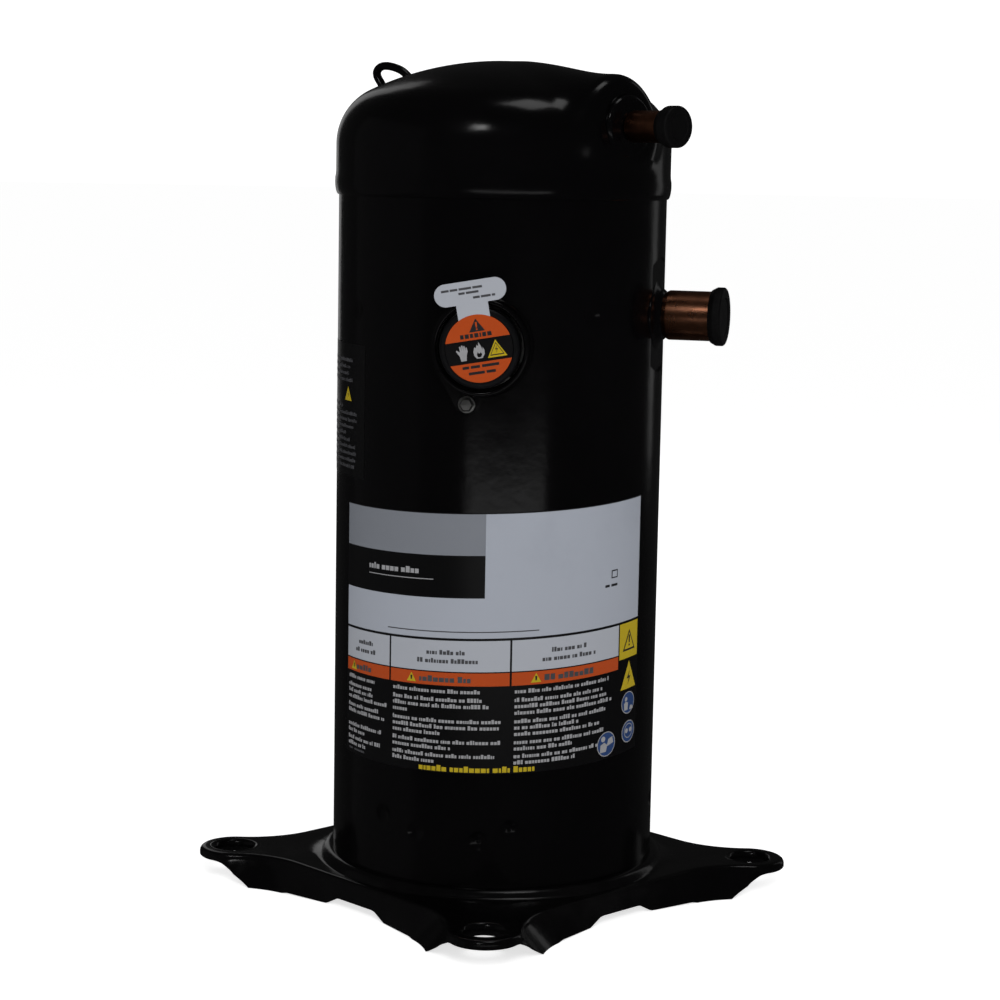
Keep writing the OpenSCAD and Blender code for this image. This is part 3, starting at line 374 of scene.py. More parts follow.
def base_sheet():
    """Rows of points from the collar round the shell, over the top, down the skirt and back underneath."""
    o = outline()
    n = len(o)
    tangent = np.roll(o, -1, 0) - np.roll(o, 1, 0)
    normal = np.stack([tangent[:, 1], -tangent[:, 0]], 1)
    normal /= np.linalg.norm(normal, axis=1)[:, None]
    none = np.zeros(n)
    side = np.where(np.abs(o[:, :1]) > np.abs(o[:, 1:]), np.stack([np.sign(o[:, 0]), none], 1),
                    np.stack([none, np.sign(o[:, 1])], 1))
    along = np.minimum(np.abs(o[:, 0]), np.abs(o[:, 1]))
    flare = np.interp(along, *zip(*FLARE_AT))
    foot = np.interp(along, *zip(*FOOT_AT))
    mix = np.array([smoothstep(74, 92, a) for a in along])[:, None]
    way = side * (1 - mix) + normal * mix
    way /= np.linalg.norm(way, axis=1)[:, None]
    polar = np.arctan2(o[:, 1], o[:, 0])
    ring = np.stack([np.cos(polar), np.sin(polar)], 1)
    collar, fold = 6.6, 3.2
    inner, edge = ring * (SHELL_R + collar), o - normal * fold
    rows = []

    def row(xy, z):
        rows.append(np.column_stack([xy, np.broadcast_to(z, (n,))]))

    for out, up in ((0.05, 4.4), (1.6, 4.5), (3.2, 4.1), (4.6, 3.0), (5.6, 1.5), (collar, 0.35)):
        row(ring * (SHELL_R + out), PLATE_Z + up)
    for t in (0.12, 0.25, 0.4, 0.55, 0.7, 0.85, 1.0):
        row(inner * (1 - t) + edge * t, PLATE_Z)
    for inset, z in ((2.2, 14.93), (1.3, 14.65), (0.6, 14.1), (0.15, 13.3), (0.0, SKIRT_TOP)):
        row(o - normal * inset, z)
    for t in (0.1, 0.22, 0.38, 0.55, 0.72, 0.88, 1.0):
        row(o + way * (flare * (t ** 1.15))[:, None], SKIRT_TOP + (foot + 0.5 - SKIRT_TOP) * t)
    for inset, up in ((0.35, 0.1), (1.2, 0.0), (2.2, 0.0), (2.8, 0.4)):
        row(o + way * (flare - inset)[:, None], foot + up)
    row(o + way * (-2.6 + flare * 0.45)[:, None], np.maximum(foot + 0.45, 6.0))
    row(edge, np.maximum(foot + 0.6, 10.8))
    row(o - normal * 5.5, np.maximum(foot + 0.7, 11.4))
    row(ring * (SHELL_R + 3.0), 11.5)
    row(ring * (SHELL_R + 0.05), 11.0)
    faces = []
    for i in range(len(rows)):
        j = (i + 1) % len(rows)
        for k in range(n):
            m = (k + 1) % n
            faces.append((i * n + k, i * n + m, j * n + m, j * n + k))
    return add("base_sheet", [tuple(v) for v in np.vstack(rows)], faces, PLATE, slot="black_paint", angle=50)


def cut_hole(ob, x, y, radius):
    """Cuts an upright round hole through ob."""
    bpy.ops.mesh.primitive_cylinder_add(vertices=96, radius=radius * MM, depth=40 * MM,
                                        location=(x * MM, y * MM, 0.01))
    cutter = bpy.context.object
    mod = ob.modifiers.new("hole", "BOOLEAN")
    mod.operation, mod.object, mod.solver = "DIFFERENCE", cutter, "EXACT"
    graph = bpy.context.evaluated_depsgraph_get()
    cut = bpy.data.meshes.new_from_object(ob.evaluated_get(graph))
    ob.modifiers.clear()
    ob.data = cut
    bpy.data.objects.remove(cutter)


def base_piece():
    ob = base_sheet()
    cut_r = 12.6
    for sx in (-1, 1):
        for sy in (-1, 1):
            cut_hole(ob, sx * HOLE, sy * HOLE, cut_r)
    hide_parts("base_plate")
    rim = [(12.9, 14.7), (12.75, 15.0), (12.2, 15.12), (11.4, 15.02), (10.6, 14.5), (9.95, 13.6), (9.6, 12.4),
           (9.5, 11.0), (9.5, 9.2), (9.8, 9.0), (11.2, 9.0), (11.6, 9.4), (11.7, 11.6), (12.9, 12.0)]
    for i, (sx, sy) in enumerate(((1, 1), (-1, 1), (-1, -1), (1, -1))):
        def where(p, x=sx * HOLE, y=sy * HOLE):
            return (x + p[0], y + p[1], p[2])
        lathe("hole_rim_%d" % i, rim, where, PLATE, radius=0, seg=72, slot="black_paint", angle=60)


# ---------------------------------------------------------------- lifting eye
def eye_piece():
    """A bent bar whose feet stand on the crown, with a weld bead round each foot."""
    a = math.radians(EYE_A)
    foot_r, bar_r = 61.5, 2.05
    foot_z = CROWN_Z + math.sqrt(CROWN_R ** 2 - foot_r ** 2)

    def where(u, v, w):
        x = foot_r + u
        return (x * math.cos(a) - w * math.sin(a), x * math.sin(a) + w * math.cos(a), foot_z + v)

    # middle of the bar, from the outer foot round to the inner one
    knots = np.array([(6, -7), (7.2, -3), (9.2, 1), (11.4, 4.4), (11.9, 7), (10.4, 9.2), (7.2, 10.2), (2, 9.5),
                      (-3.2, 7.4), (-7.2, 3.7), (-8.6, -1)], float)
    path = []
    for i in range(1, len(knots) - 2):
        p0, p1, p2, p3 = knots[i - 1:i + 3]
        for t in np.linspace(0, 1, 6, endpoint=False):
            path.append(0.5 * (2 * p1 + (p2 - p0) * t + (2 * p0 - 5 * p1 + 4 * p2 - p3) * t * t
                               + (3 * p1 - p0 - 3 * p2 + p3) * t ** 3))
    path = [knots[0]] + path + [knots[-2], knots[-1]]
    across = Vector(where(0, 0, 1)) - Vector(where(0, 0, 0))
    ob = tube("eye_loop", [where(u, v, 0) for u, v in path], bar_r, PAINT, sides=24, flat=1.2, axis=across,
              slot="black_paint")
    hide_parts("lifting_eye")
    bead = [(0.2, 1.7), (2.2, 1.6), (3.4, 0.8), (4.3, 0.1), (4.5, -0.8)]
    for i, (u0, v0) in enumerate(((7.6, -3.4), (-7.8, 3.2))):
        lean = (foot_r + u0) / CROWN_R
        n = Vector((lean * math.cos(a), lean * math.sin(a), math.sqrt(1 - lean ** 2)))
        u = across.cross(n)
        base = Vector(where(u0, v0, 0)) - n * 0.3

        def on_crown(q, base=base, n=n, u=u):
            return tuple(base + u * q[0] + across * q[1] + n * q[2])

        lathe("eye_weld_%d" % i, bead, on_crown, PAINT, radius=0, closed=False, slot="black_paint", seg=40)


# ---------------------------------------------------------------- stubs, collars and rubber caps
def stub_pieces(kind, at, copper, collar, plug, rounding):
    """A copper stub in its collar, and its rubber cap. Profiles are (radius, distance from the axis)."""
    ob = lathe(kind + "_copper", copper, at, COPPER, radius=rounding, slot="copper")
    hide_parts(kind + "_stub")
    ob = lathe(kind + "_collar", collar, at, PAINT, radius=0.9, slot="black_paint", angle=60)
    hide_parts(kind + "_boss")
    ob = lathe(kind + "_plug", plug, at, RUBBER, kind + "_cap", radius=0.4, closed=False, slot="black_rubber")
    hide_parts(kind + "_stub_cap")


def suction_pieces():
    cup_r, reach, start = 12.3, 112.8, SHELL_R - 5
    copper = [(9.35, start), (9.35, 84.6), (11.15, 87.0), (11.15, reach), (cup_r, reach), (cup_r, 87.3),
              (10.5, 84.4), (10.5, start)]
    collar = [(10.55, 77.6), (10.55, 85.4), (11.2, 85.7), (12.4, 84.6), (13.3, 83.4), (15.0, 82.3),
              (17.5, 81.6), (17.5, 80.5), (11.9, 79.5), (11.9, 77.6)]
    skirt, fit_r = reach - 3.95, cup_r + 0.03
    plug = [(0.0, skirt + 4.0), (fit_r, skirt + 4.0), (fit_r, skirt), (13.1, skirt), (13.6, skirt + 1.0),
            (14.5, skirt + 2.6), (14.5, skirt + 5.9), (13.8, skirt + 6.6), (9.6, skirt + 6.6),
            (9.0, skirt + 6.0), (0.0, skirt + 6.0)]
    stub_pieces("suction", place(SUCTION_A, SUCTION_Z), copper, collar, plug, 0.55)


def discharge_pieces():
    cup_r, reach, start = 7.6, 113.2, 74.0
    copper = [(4.05, start), (4.05, 87.9), (6.45, 89.3), (6.45, reach), (cup_r, reach), (cup_r, 89.6),
              (5.2, 87.8), (5.2, start)]
    collar = [(5.25, 80.0), (5.25, 87.4), (6.6, 88.4), (9.2, 87.65), (13.6, 87.65), (15.1, 86.0), (15.1, 84.0),
              (15.9, 82.9), (15.9, 80.0)]
    skirt, fit_r = reach - 3.95, cup_r + 0.03
    plug = [(0.0, skirt + 4.0), (fit_r, skirt + 4.0), (fit_r, skirt), (8.4, skirt), (8.8, skirt + 1.2),
            (9.9, skirt + 3.0), (9.9, skirt + 8.2), (9.2, skirt + 9.0), (6.6, skirt + 9.0), (6.2, skirt + 8.5),
            (0.0, skirt + 8.5)]
    stub_pieces("discharge", place(DISCHARGE_A, DISCHARGE_Z), copper, collar, plug, 0.5)


cap_piece()
base_piece()
eye_piece()
suction_pieces()
discharge_pieces()


# ---------------------------------------------------------------- terminal fence, cover and the film on it
TERMINAL = place(TERMINAL_A, TERMINAL_Z)
COVER = place(TERMINAL_A, TERMINAL_Z, 10.0)
COVER_FACE = SHELL_R + 12


def cover_pieces():
    fence = [(20.9, 79.0), (20.9, 90.9), (21.5, 91.55), (22.8, 91.55), (23.4, 90.8), (23.4, 84.0),
             (24.6, 82.6), (24.6, 79.0)]
    ob = lathe("fence_ring", fence, TERMINAL, PAINT, radius=0.6, slot="black_paint", angle=60)
    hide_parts("terminal_fence")
    face = COVER_FACE
    cup = [(0.0, face - 0.6), (15.9, face - 0.6), (16.3, face), (18.2, face), (19.2, face - 1.0),
           (19.3, face - 2.4), (19.3, 84.6), (17.3, 84.6), (17.3, face - 3.0), (0.0, face - 3.0)]
    ob = lathe("cover_cup", cup, COVER, PLASTIC, "terminal_cover", radius=0.45, closed=False,
               slot="black_plastic")
    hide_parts("terminal_cover")
    low, high, half = 86.6, 89.4, 3
    faces = [(0, 2, 4, 6), (1, 7, 5, 3), (0, 1, 3, 2), (2, 3, 5, 4), (4, 5, 7, 6), (6, 7, 1, 0)]
    for i in range(4):
        t = math.radians(45 + 90 * i)
        pts = []
        for s, h, outer in ((-half, low, 20.0), (half, low, 20.0), (half, high, 19.4), (-half, high, 19.4)):
            for r in (18.9, outer):
                pts.append(COVER((r * math.cos(t) - s * math.sin(t), r * math.sin(t) + s * math.cos(t), h)))
        add("cover_catch_%d" % i, pts, faces, PLASTIC, "terminal_cover", smooth=False, slot="black_plastic")


def flat_piece(name, loops, level, m, body="terminal_cover", thick=0.0, where=COVER):
    """Filled outlines of (across, up), level from the shell's axis. thick gives them sides and a back."""
    verts, faces = [], []
    for loop in loops:
        s = len(verts)
        n = len(loop)
        verts += [where((x, y, level)) for x, y in loop]
        faces.append(tuple(range(s, s + n)))
        if thick:
            verts += [where((x, y, level - thick)) for x, y in loop]
            faces.append(tuple(range(s + n, s + 2 * n))[::-1])
            faces += [(s + k, s + n + k, s + n + (k + 1) % n, s + (k + 1) % n) for k in range(n)]
    return add(name, verts, faces, m, body, smooth=False, slot="printed_label")


def disc_part(r, low, high, n=64):
    """The part of a disc between two heights, as one outline."""
    a0, a1 = math.asin(max(-1, low / r)), math.asin(min(1, high / r))
    turns = [a0 + (a1 - a0) * k / n for k in range(n + 1)]
    right = [(r * math.cos(t), r * math.sin(t)) for t in turns]
    return right + [(-x, y) for x, y in right[::-1]]


def circle(cx, cy, r, n):
    turns = [2 * math.pi * k / n for k in range(n)]
    return [(cx + r * math.cos(t), cy + r * math.sin(t)) for t in turns]


def triangle(cx, cy, w, h):
    return [(cx - w / 2, cy - h / 2), (cx + w / 2, cy - h / 2), (cx, cy + h / 2)]


def rectangle(x, y, w, h):
    return [(x, y), (x + w, y), (x + w, y + h), (x, y + h)]


def bolt(cx, cy, h):
    """A zigzag bolt of height h."""
    s = h / 10
    corners = [(1.2, 5), (-2, -0.4), (0.3, -0.4), (-1.2, -5), (2.2, 1.0), (-0.1, 1.0)]
    return [(cx + x * s, cy + y * s) for x, y in corners]


def tab_outline(up, half, r):
    """A slot-shaped outline with round ends."""
    out = []
    for x, first in ((half, -90), (-half, 90)):
        turns = [math.radians(t) for t in range(first, first + 181, 10)]
        out += [(x + r * math.cos(t), up + r * math.sin(t)) for t in turns]
    return out


def cover_film():
    disc_r, high, low = 16.1, 4.4, -6.4
    base = COVER_FACE + 0.02
    sheet, up = base + 0.32, base + 0.38
    flat_piece("cover_disc_top", [disc_part(disc_r, high, disc_r)], sheet, AMBER_FILM, thick=0.3)
    flat_piece("cover_disc_mid", [disc_part(disc_r, low, high)], sheet, BLACK_FILM, thick=0.3)
    flat_piece("cover_disc_low", [disc_part(disc_r, -disc_r, low)], sheet, AMBER_FILM, thick=0.3)
    flat_piece("cover_mark_triangle", [triangle(0.4, 11.2, 7.6, 6.2)], up, INK)
    bar = [(0.05, 10.0), (0.75, 10.0), (0.85, 12.6), (-0.05, 12.6)]
    flat_piece("cover_mark_bar", [bar, circle(0.4, 9.2, 0.42, 12)], up + 0.05, AMBER_FILM)
    top_bars = ((-8.0, 1.6), (-5.8, 1.9), (-3.3, 1.5), (-1.2, 1.9), (1.3, 0.7), (2.6, 1.8), (5.0, 2.0))
    flat_piece("cover_mark_bars_top", [rectangle(x, 5.4, w, 2.0) for x, w in top_bars], up, INK)
    low_bars = ((-9.2, 3.2, -8.9), (-5.2, 4.4, -8.9), (0.2, 8.2, -8.9), (-6.6, 7.6, -11.9), (1.9, 4.4, -11.9))
    flat_piece("cover_mark_bars_low", [rectangle(x, y, w, 1.3) for x, w, y in low_bars], up, INK)
    hand = [(-9.2, -4.9), (-6.6, -4.9), (-6.2, -2.2), (-5.5, -0.6), (-5.7, 1.4), (-6.3, 1.4), (-6.5, -0.2),
            (-6.6, 2.2), (-7.3, 2.2), (-7.4, 0.0), (-7.6, 2.6), (-8.3, 2.6), (-8.3, 0.0), (-8.6, 2.2),
            (-9.3, 2.2), (-9.2, -0.6), (-10.6, 0.6), (-11.1, 0.1), (-9.6, -2.4)]
    flat_piece("cover_mark_glove", [hand], up, PALE_INK)
    flame = [(-1.6, -4.6), (1.0, -4.6), (2.3, -2.9), (2.5, -0.9), (1.8, 0.6), (1.6, -0.6), (1.0, 1.2),
             (0.1, 3.2), (-0.2, 1.2), (-0.9, 2.0), (-1.5, 0.3), (-2.1, 1.0), (-2.9, -1.2), (-2.7, -3.2)]
    flat_piece("cover_mark_flame", [flame], up, PALE_INK)
    core = [(-1.0, -4.0), (0.5, -4.0), (1.1, -2.8), (0.6, -1.8), (-0.2, -2.4), (-0.9, -1.6), (-1.4, -2.9)]
    flat_piece("cover_mark_flame_core", [core], up + 0.05, BLACK_FILM)
    flat_piece("cover_mark_yellow", [triangle(8.2, -0.9, 9.4, 8.2)], up, YELLOW_FILM)
    flat_piece("cover_mark_yellow_rim", [triangle(8.2, -1.1, 7.0, 6.1)], up + 0.04, INK)
    flat_piece("cover_mark_yellow_in", [triangle(8.2, -1.15, 5.8, 5.0)], up + 0.08, YELLOW_FILM)
    flat_piece("cover_mark_bolt", [bolt(8.2, -1.4, 3.6)], up + 0.12, INK)
    tab = flat_piece("cover_tab", [tab_outline(26.8, 11.8, 5.4)], base + 0.36, WHITE_FILM, thick=0.34)
    flat_piece("cover_tab_neck", [rectangle(-7.6, 14.0, 15.2, 8.0)], base + 0.30, WHITE_FILM, thick=0.28)
    tab_bars = ((-13.6, 3.6, 28.3), (-9.4, 3.6, 28.3), (-5.2, 6.0, 28.3), (1.4, 4.6, 28.3), (-5.6, 3.0, 26.2),
                (-2.0, 6.0, 26.2), (1.0, 3.2, 23.6), (4.8, 4.6, 23.6), (10.0, 1.6, 23.6))
    flat_piece("cover_tab_marks", [rectangle(x, y, w, 1.05) for x, w, y in tab_bars], up + 0.03, DIM_INK)
    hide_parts("cover_label")


def ground_pieces():
    corners = [(-23.3, -9.0), (-14.5, -24.0), (-11.4, -31.0), (-2.2, -31.0), (0.8, -24.0), (-0.4, -18.5),
               (-12.0, -12.5), (-23.3, -9.0)]
    lug = flat_piece("ground_lug", [rounded(corners, 2.6, 5)[:-1]], 85.6, PAINT, "shell", thick=4.6,
                     where=TERMINAL)
    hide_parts("ground_bracket")
    screw_x, screw_y = -6.5, -27.5

    def on_screw(p):
        return TERMINAL((p[0] + screw_x, p[1] + screw_y, p[2]))

    washer = [(0, 86.7), (4.2, 86.7), (4.2, 85.6), (2.5, 85.6), (2.5, 82.6), (0, 82.6)]
    ob = lathe("ground_screw_washer", washer, on_screw, STEEL, radius=0.25, closed=False, seg=48, slot="steel")
    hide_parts("ground_screw")
    head = [(0, 89.2), (2.7, 89.1), (3.55, 88.5), (3.55, 86.65), (0, 86.65)]
    lathe("ground_screw_head", head, on_screw, STEEL, radius=0, closed=False, seg=6, slot="steel",
          smooth=False)


cover_pieces()
cover_film()
ground_pieces()


# ---------------------------------------------------------------- labels wrapped on the shell
DEG = 180 / math.pi / SHELL_R
FRONT_A = -45
LEFT, MIDDLE, RIGHT = -62.4, -2.8, 60.5
DARK_TOP, LABEL_TOP = 66, 127
# how far the layers stand off the shell
SHEET, FIELD, PRINT, BAND, SIGN, INNER, UPPER, UPMOST = 0.10, 0.16, 0.20, 0.21, 0.24, 0.28, 0.32, 0.36


def line_height(phi, a, b, c):
    """Height at phi of the smooth line through a, b and c above the plate at LEFT, MIDDLE and RIGHT."""
    x0, x1, x2 = LEFT, MIDDLE, RIGHT
    return (a * (phi - x1) * (phi - x2) / ((x0 - x1) * (x0 - x2))
            + b * (phi - x0) * (phi - x2) / ((x1 - x0) * (x1 - x2))
            + c * (phi - x0) * (phi - x1) / ((x2 - x0) * (x2 - x1))) + PLATE_Z


def label_height(phi, h):
    """h counts up from the label's foot, past DARK_TOP to LABEL_TOP. The label sits a little askew."""
    low = line_height(phi, 62.0, 61.6, 67.3)
    mid = line_height(phi, 126.0, 128.1, 133.3)
    top = line_height(phi, 188.4, 190.1, 195.2)
    if h <= DARK_TOP:
        return low + (mid - low) * h / DARK_TOP
    return mid + (top - mid) * (h - DARK_TOP) / (LABEL_TOP - DARK_TOP)


def side_height(phi, h):
    return 216.0 + h


def on_shell(r, phi, z):
    a = math.radians(phi + FRONT_A)
    return (r * math.cos(a), r * math.sin(a), z)


def wrapped(name, patches, level, m, height=label_height):
    """Patches of (from, to, low, high), in degrees from the front and heights on the label."""
    step = 2.0
    verts, faces = [], []
    for p0, p1, h0, h1 in patches:
        n = max(1, int(math.ceil(abs(p1 - p0) / step)))
        hs = [h0, h1] if h1 <= DARK_TOP or h0 >= DARK_TOP else [h0, DARK_TOP, h1]
        rows = len(hs)
        s = len(verts)
        for i in range(n + 1):
            phi = p0 + (p1 - p0) * i / n
            verts += [on_shell(SHELL_R + level, phi, height(phi, h)) for h in hs]
        for i in range(n):
            for k in range(rows - 1):
                a = s + i * rows + k
                faces.append((a, a + rows, a + rows + 1, a + 1))
    return add(name, verts, faces, m, slot="printed_label")


def wrapped_shape(name, loops, level, m, height=label_height):
    """Outlines of (degrees from the front, height on the label), cut into strips and bent round the shell."""
    step = 1.2
    bm = bmesh.new()
    for loop in loops:
        bm.faces.new([bm.verts.new((phi, h, 0)) for phi, h in loop])
    lo = min(phi for loop in loops for phi, h in loop)
    hi = max(phi for loop in loops for phi, h in loop)
    cut_at = math.ceil(lo / step) * step
    while cut_at < hi:
        bmesh.ops.bisect_plane(bm, geom=bm.verts[:] + bm.edges[:] + bm.faces[:], plane_co=(cut_at, 0, 0),
                               plane_no=(1, 0, 0))
        cut_at += step
    bmesh.ops.triangulate(bm, faces=bm.faces[:])
    bm.verts.index_update()
    verts = [on_shell(SHELL_R + level, v.co.x, height(v.co.x, v.co.y)) for v in bm.verts]
    faces = [tuple(v.index for v in f.verts) for f in bm.faces]
    bm.free()
    return add(name, verts, faces, m, slot="printed_label")


def bent(phi, h, loop):
    """An outline in millimetres, moved to phi and h, with its width turned into degrees."""
    return [(phi + x * DEG, h + y) for x, y in loop]


def round_sign(phi, h, r):
    return bent(phi, h, circle(0, 0, r, 28))


def tri_sign(phi, h, w, t):
    return bent(phi, h, triangle(0, 0, w, t))


def bolt_sign(phi, h, size):
    return bent(phi, h, bolt(0, 0, size))


def marks(rng, into, x, end, h, size, heavy=1.0):
    """A row of small blocks in groups from x to end, as plain filler for a line of print."""
    while x < end - 0.5:
        for _ in range(int(rng.integers(2, 9))):
            wide = size * float(rng.choice([0.34, 0.5, 0.62, 0.62, 0.7])) * heavy
            if x + wide * DEG > end:
                break
            tall = size * float(rng.choice([0.72, 0.72, 0.72, 1.0]))
            into.append((x, x + wide * DEG, h, h + tall))
            x += (wide + size * 0.16) * DEG
        x += size * 0.42 * DEG


# filler rows in the three columns: their heights, and how much of the column's width each takes
ROW_HEIGHTS = [39.4, 35.2, 32.1, 28.9, 24.7, 21.6, 18.5, 14.4, 11.3, 7.5, 4.4]
ROW_ENDS = [[0.72, 0.68, 0.70, 0.98, 0.84, 0.95, 0, 0.88, 0.50, 0.86, 0.52],
            [0.78, 0.80, 0.86, 0.16, 0.96, 0.95, 0.46, 0.97, 0.54, 0.92, 0.40],
            [0.92, 0.84, 0.90, 0.94, 0.88, 0.60, 0.82, 0.86, 0.54, 0.84, 0.58]]


def label_columns(rng):
    """Heading row, warning strip and the columns of filler below it."""
    cols = [(LEFT + 0.8, -37.6), (-36.9, 6.2), (6.9, 48.6)]
    wrapped("label_heads", [(a, b, 50.2, 65.4) for a, b in cols], PRINT, WHITE_FILM)
    wrapped("label_strip", [(a, b, 43.2, 49.6) for a, b in cols], PRINT, ORANGE_FILM)
    dark, light, signs, sign_bars = [], [], [], []
    for c, (a, b) in enumerate(cols):
        mid = (a + b) / 2
        span = b - a
        for h, w in ((58.4, 0.34), (54.2, 0.5)):
            marks(rng, dark, mid - w * span / 2, mid + w * span / 2, h, 2.3)
        marks(rng, dark, a + 0.27 * span, a + (0.73 if c else 0.66) * span, 44.8, 3.0, 1.25)
        x = a + 0.2 * span
        signs.append(tri_sign(x, 46.5, 5.2, 4.6))
        sign_bars.append([(x - 0.25, 45.2), (x + 0.25, 45.2), (x + 0.35, 47.3), (x - 0.35, 47.3)])
        for h, end in zip(ROW_HEIGHTS, ROW_ENDS[c]):
            if end:
                marks(rng, light, a + 1.1, a + 1.1 + end * (span - 1.8), h, 2.05)
    wrapped("label_dark_marks", dark, SIGN, DIM_INK)
    wrapped("label_pale_marks", light, PRINT, PALE_INK)
    wrapped_shape("label_strip_signs", signs, SIGN, YELLOW_FILM)
    wrapped_shape("label_strip_sign_bars", sign_bars, INNER, INK)


def label_signs():
    """Signs near the right-hand edge: a triangle in a square, a bolt in a triangle and three round ones."""
    wrapped("label_sign_square", [(49.2, RIGHT - 0.6, 47.5, 65.4)], PRINT, YELLOW_FILM)
    wrapped_shape("label_sign_edge", [tri_sign(54.6, 56.6, 10.4, 10.6)], SIGN, INK)
    wrapped_shape("label_sign_fill", [tri_sign(54.6, 56.3, 7.9, 8.0)], INNER, YELLOW_FILM)
    wrapped("label_sign_bar", [(54.25, 54.95, 55.2, 59.0), (54.25, 54.95, 53.6, 54.4)], UPPER, INK)
    wrapped_shape("label_bolt_edge", [tri_sign(54.8, 38.9, 13.0, 14.0)], PRINT, YELLOW_FILM)
    wrapped_shape("label_bolt_sign", [bolt_sign(54.8, 37.4, 8.0)], SIGN, INK)
    rounds = [(54.9, 24.6, 5.6), (55.4, 9.8, 5.6), (43.6, 7.4, 6.2)]
    wrapped_shape("label_round_edges", [round_sign(p, h, r) for p, h, r in rounds], PRINT, PALE_INK)
    wrapped_shape("label_rounds", [round_sign(p, h, r - 0.45) for p, h, r in rounds], SIGN, BLUE_FILM)
    glyphs = [round_sign(53.6, 26.6, 1.1),
              [(52.6, 21.0), (54.6, 21.0), (54.8, 24.6), (53.4, 25.4), (52.4, 24.4)],
              [(55.6, 20.8), (58.0, 20.8), (57.4, 22.6), (56.2, 22.8)], round_sign(42.0, 10.2, 1.4),
              [(40.6, 3.6), (43.4, 3.6), (44.0, 6.8), (42.6, 8.4), (40.8, 7.4)],
              [(43.8, 6.2), (47.0, 7.4), (46.4, 10.6), (44.4, 9.6)]]
    wrapped_shape("label_round_glyphs", glyphs, INNER, PALE_INK)
    wrapped_shape("label_round_head", [round_sign(55.4, 10.2, 3.7)], INNER, PALE_INK)
    wrapped_shape("label_round_head_in", [round_sign(55.4, 10.2, 3.3)], UPPER, BLUE_FILM)
    wrapped_shape("label_round_eyes", [round_sign(phi, 10.4, 1.2) for phi in (54.2, 56.6)], UPMOST, PALE_INK)


def build_main_label():
    rng = np.random.default_rng(7)
    sheet = wrapped("label_film", [(LEFT, RIGHT, 0, LABEL_TOP)], SHEET, BLACK_FILM)
    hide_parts("main_label")
    left, split, seam, top = LEFT + 0.6, -2.6, 106.5, 126.4
    wrapped("label_field", [(left, RIGHT - 0.5, 66.6, top)], FIELD, SILVER_FILM)
    wrapped("label_grey_band", [(left, split, seam, top)], BAND, GREY_FILM)
    wrapped("label_black_band", [(left, split, 86.0, seam)], BAND, BLACK_FILM)
    label_columns(rng)
    # thin line and small square in the pale field
    wrapped("label_hairline", [(-38.5, 16.0, 69.4, 69.9)], BAND, DIM_INK)
    wrapped("label_small_marks", [(41.4, 43.4, 85.6, 86.8), (44.2, 47.2, 85.6, 86.8)], BAND, INK)
    wrapped("label_small_square", [(44.2, 47.2, 89.6, 93.6)], BAND, INK)
    wrapped("label_small_square_in", [(44.6, 46.8, 90.2, 93.0)], 0.25, SILVER_FILM)
    label_signs()
    # filler in the black band and along the foot
    foot, band = [], []
    marks(rng, foot, -25.0, 16.0, 0.6, 3.0, 1.15)
    marks(rng, band, -48.0, -26.0, 97.2, 3.0, 1.1)
    band.append((-48.0, -20.5, 94.6, 95.0))
    wrapped("label_band_marks", band, 0.26, PALE_INK)
    wrapped("label_footer_marks", foot, PRINT, YELLOW_FILM)
    wrapped("label_corner_marks", [(-60.0, -57.4, 2.0, 3.0), (-56.2, -50.0, 2.0, 3.0)], PRINT, DIM_INK)


def build_side_label():
    ob = wrapped("side_label_film", [(-112.0, -52.0, 0, 65.9)], SHEET, BLACK_FILM, side_height)
    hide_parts("side_label")
    rng = np.random.default_rng(11)
    rows = []
    for h in np.arange(4, 60, 3.3):
        if 36 < h < 46:
            continue
        x, end = -110.0, -57.0 - float(rng.uniform(0, 14))
        while x < end:
            wide = float(rng.choice([0.7, 1.0, 1.3, 1.3, 1.5])) * DEG
            rows.append((x, x + wide, float(h), float(h) + float(rng.choice([1.3, 1.3, 1.8]))))
            x += wide + float(rng.choice([0.3, 0.3, 0.3, 0.3, 0.9])) * DEG
    wrapped("side_label_marks", rows, 0.18, DIM_INK, side_height)
    wrapped_shape("side_label_sign", [tri_sign(-64.0, 41.0, 8.5, 7.0)], 0.18, YELLOW_FILM, side_height)
    wrapped_shape("side_label_sign_in", [bolt_sign(-64.0, 40.4, 4.0)], 0.22, INK, side_height)


build_main_label()
build_side_label()


# ---------------------------------------------------------------- relief valve spring, a coil sized to the carried-over one
def spring_piece():
    lo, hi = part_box("relief_valve_spring")
    cx, cy = ((lo[i] + hi[i]) / 2 / MM for i in (0, 1))
    wire, turns, steps = 0.33, 4, 36
    coil_r = (hi[0] - lo[0]) / 2 / MM - 0.35
    low, high = lo[2] / MM + wire + 0.05, hi[2] / MM - wire - 0.05
    n = turns * steps
    path = [(cx + coil_r * math.cos(2 * math.pi * i / steps), cy + coil_r * math.sin(2 * math.pi * i / steps),
             low + (high - low) * i / n) for i in range(n + 1)]
    ob = tube("relief_spring", path, wire, STEEL, sides=12, slot="steel")
    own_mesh(ob)
    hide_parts("relief_valve_spring")


spring_piece()

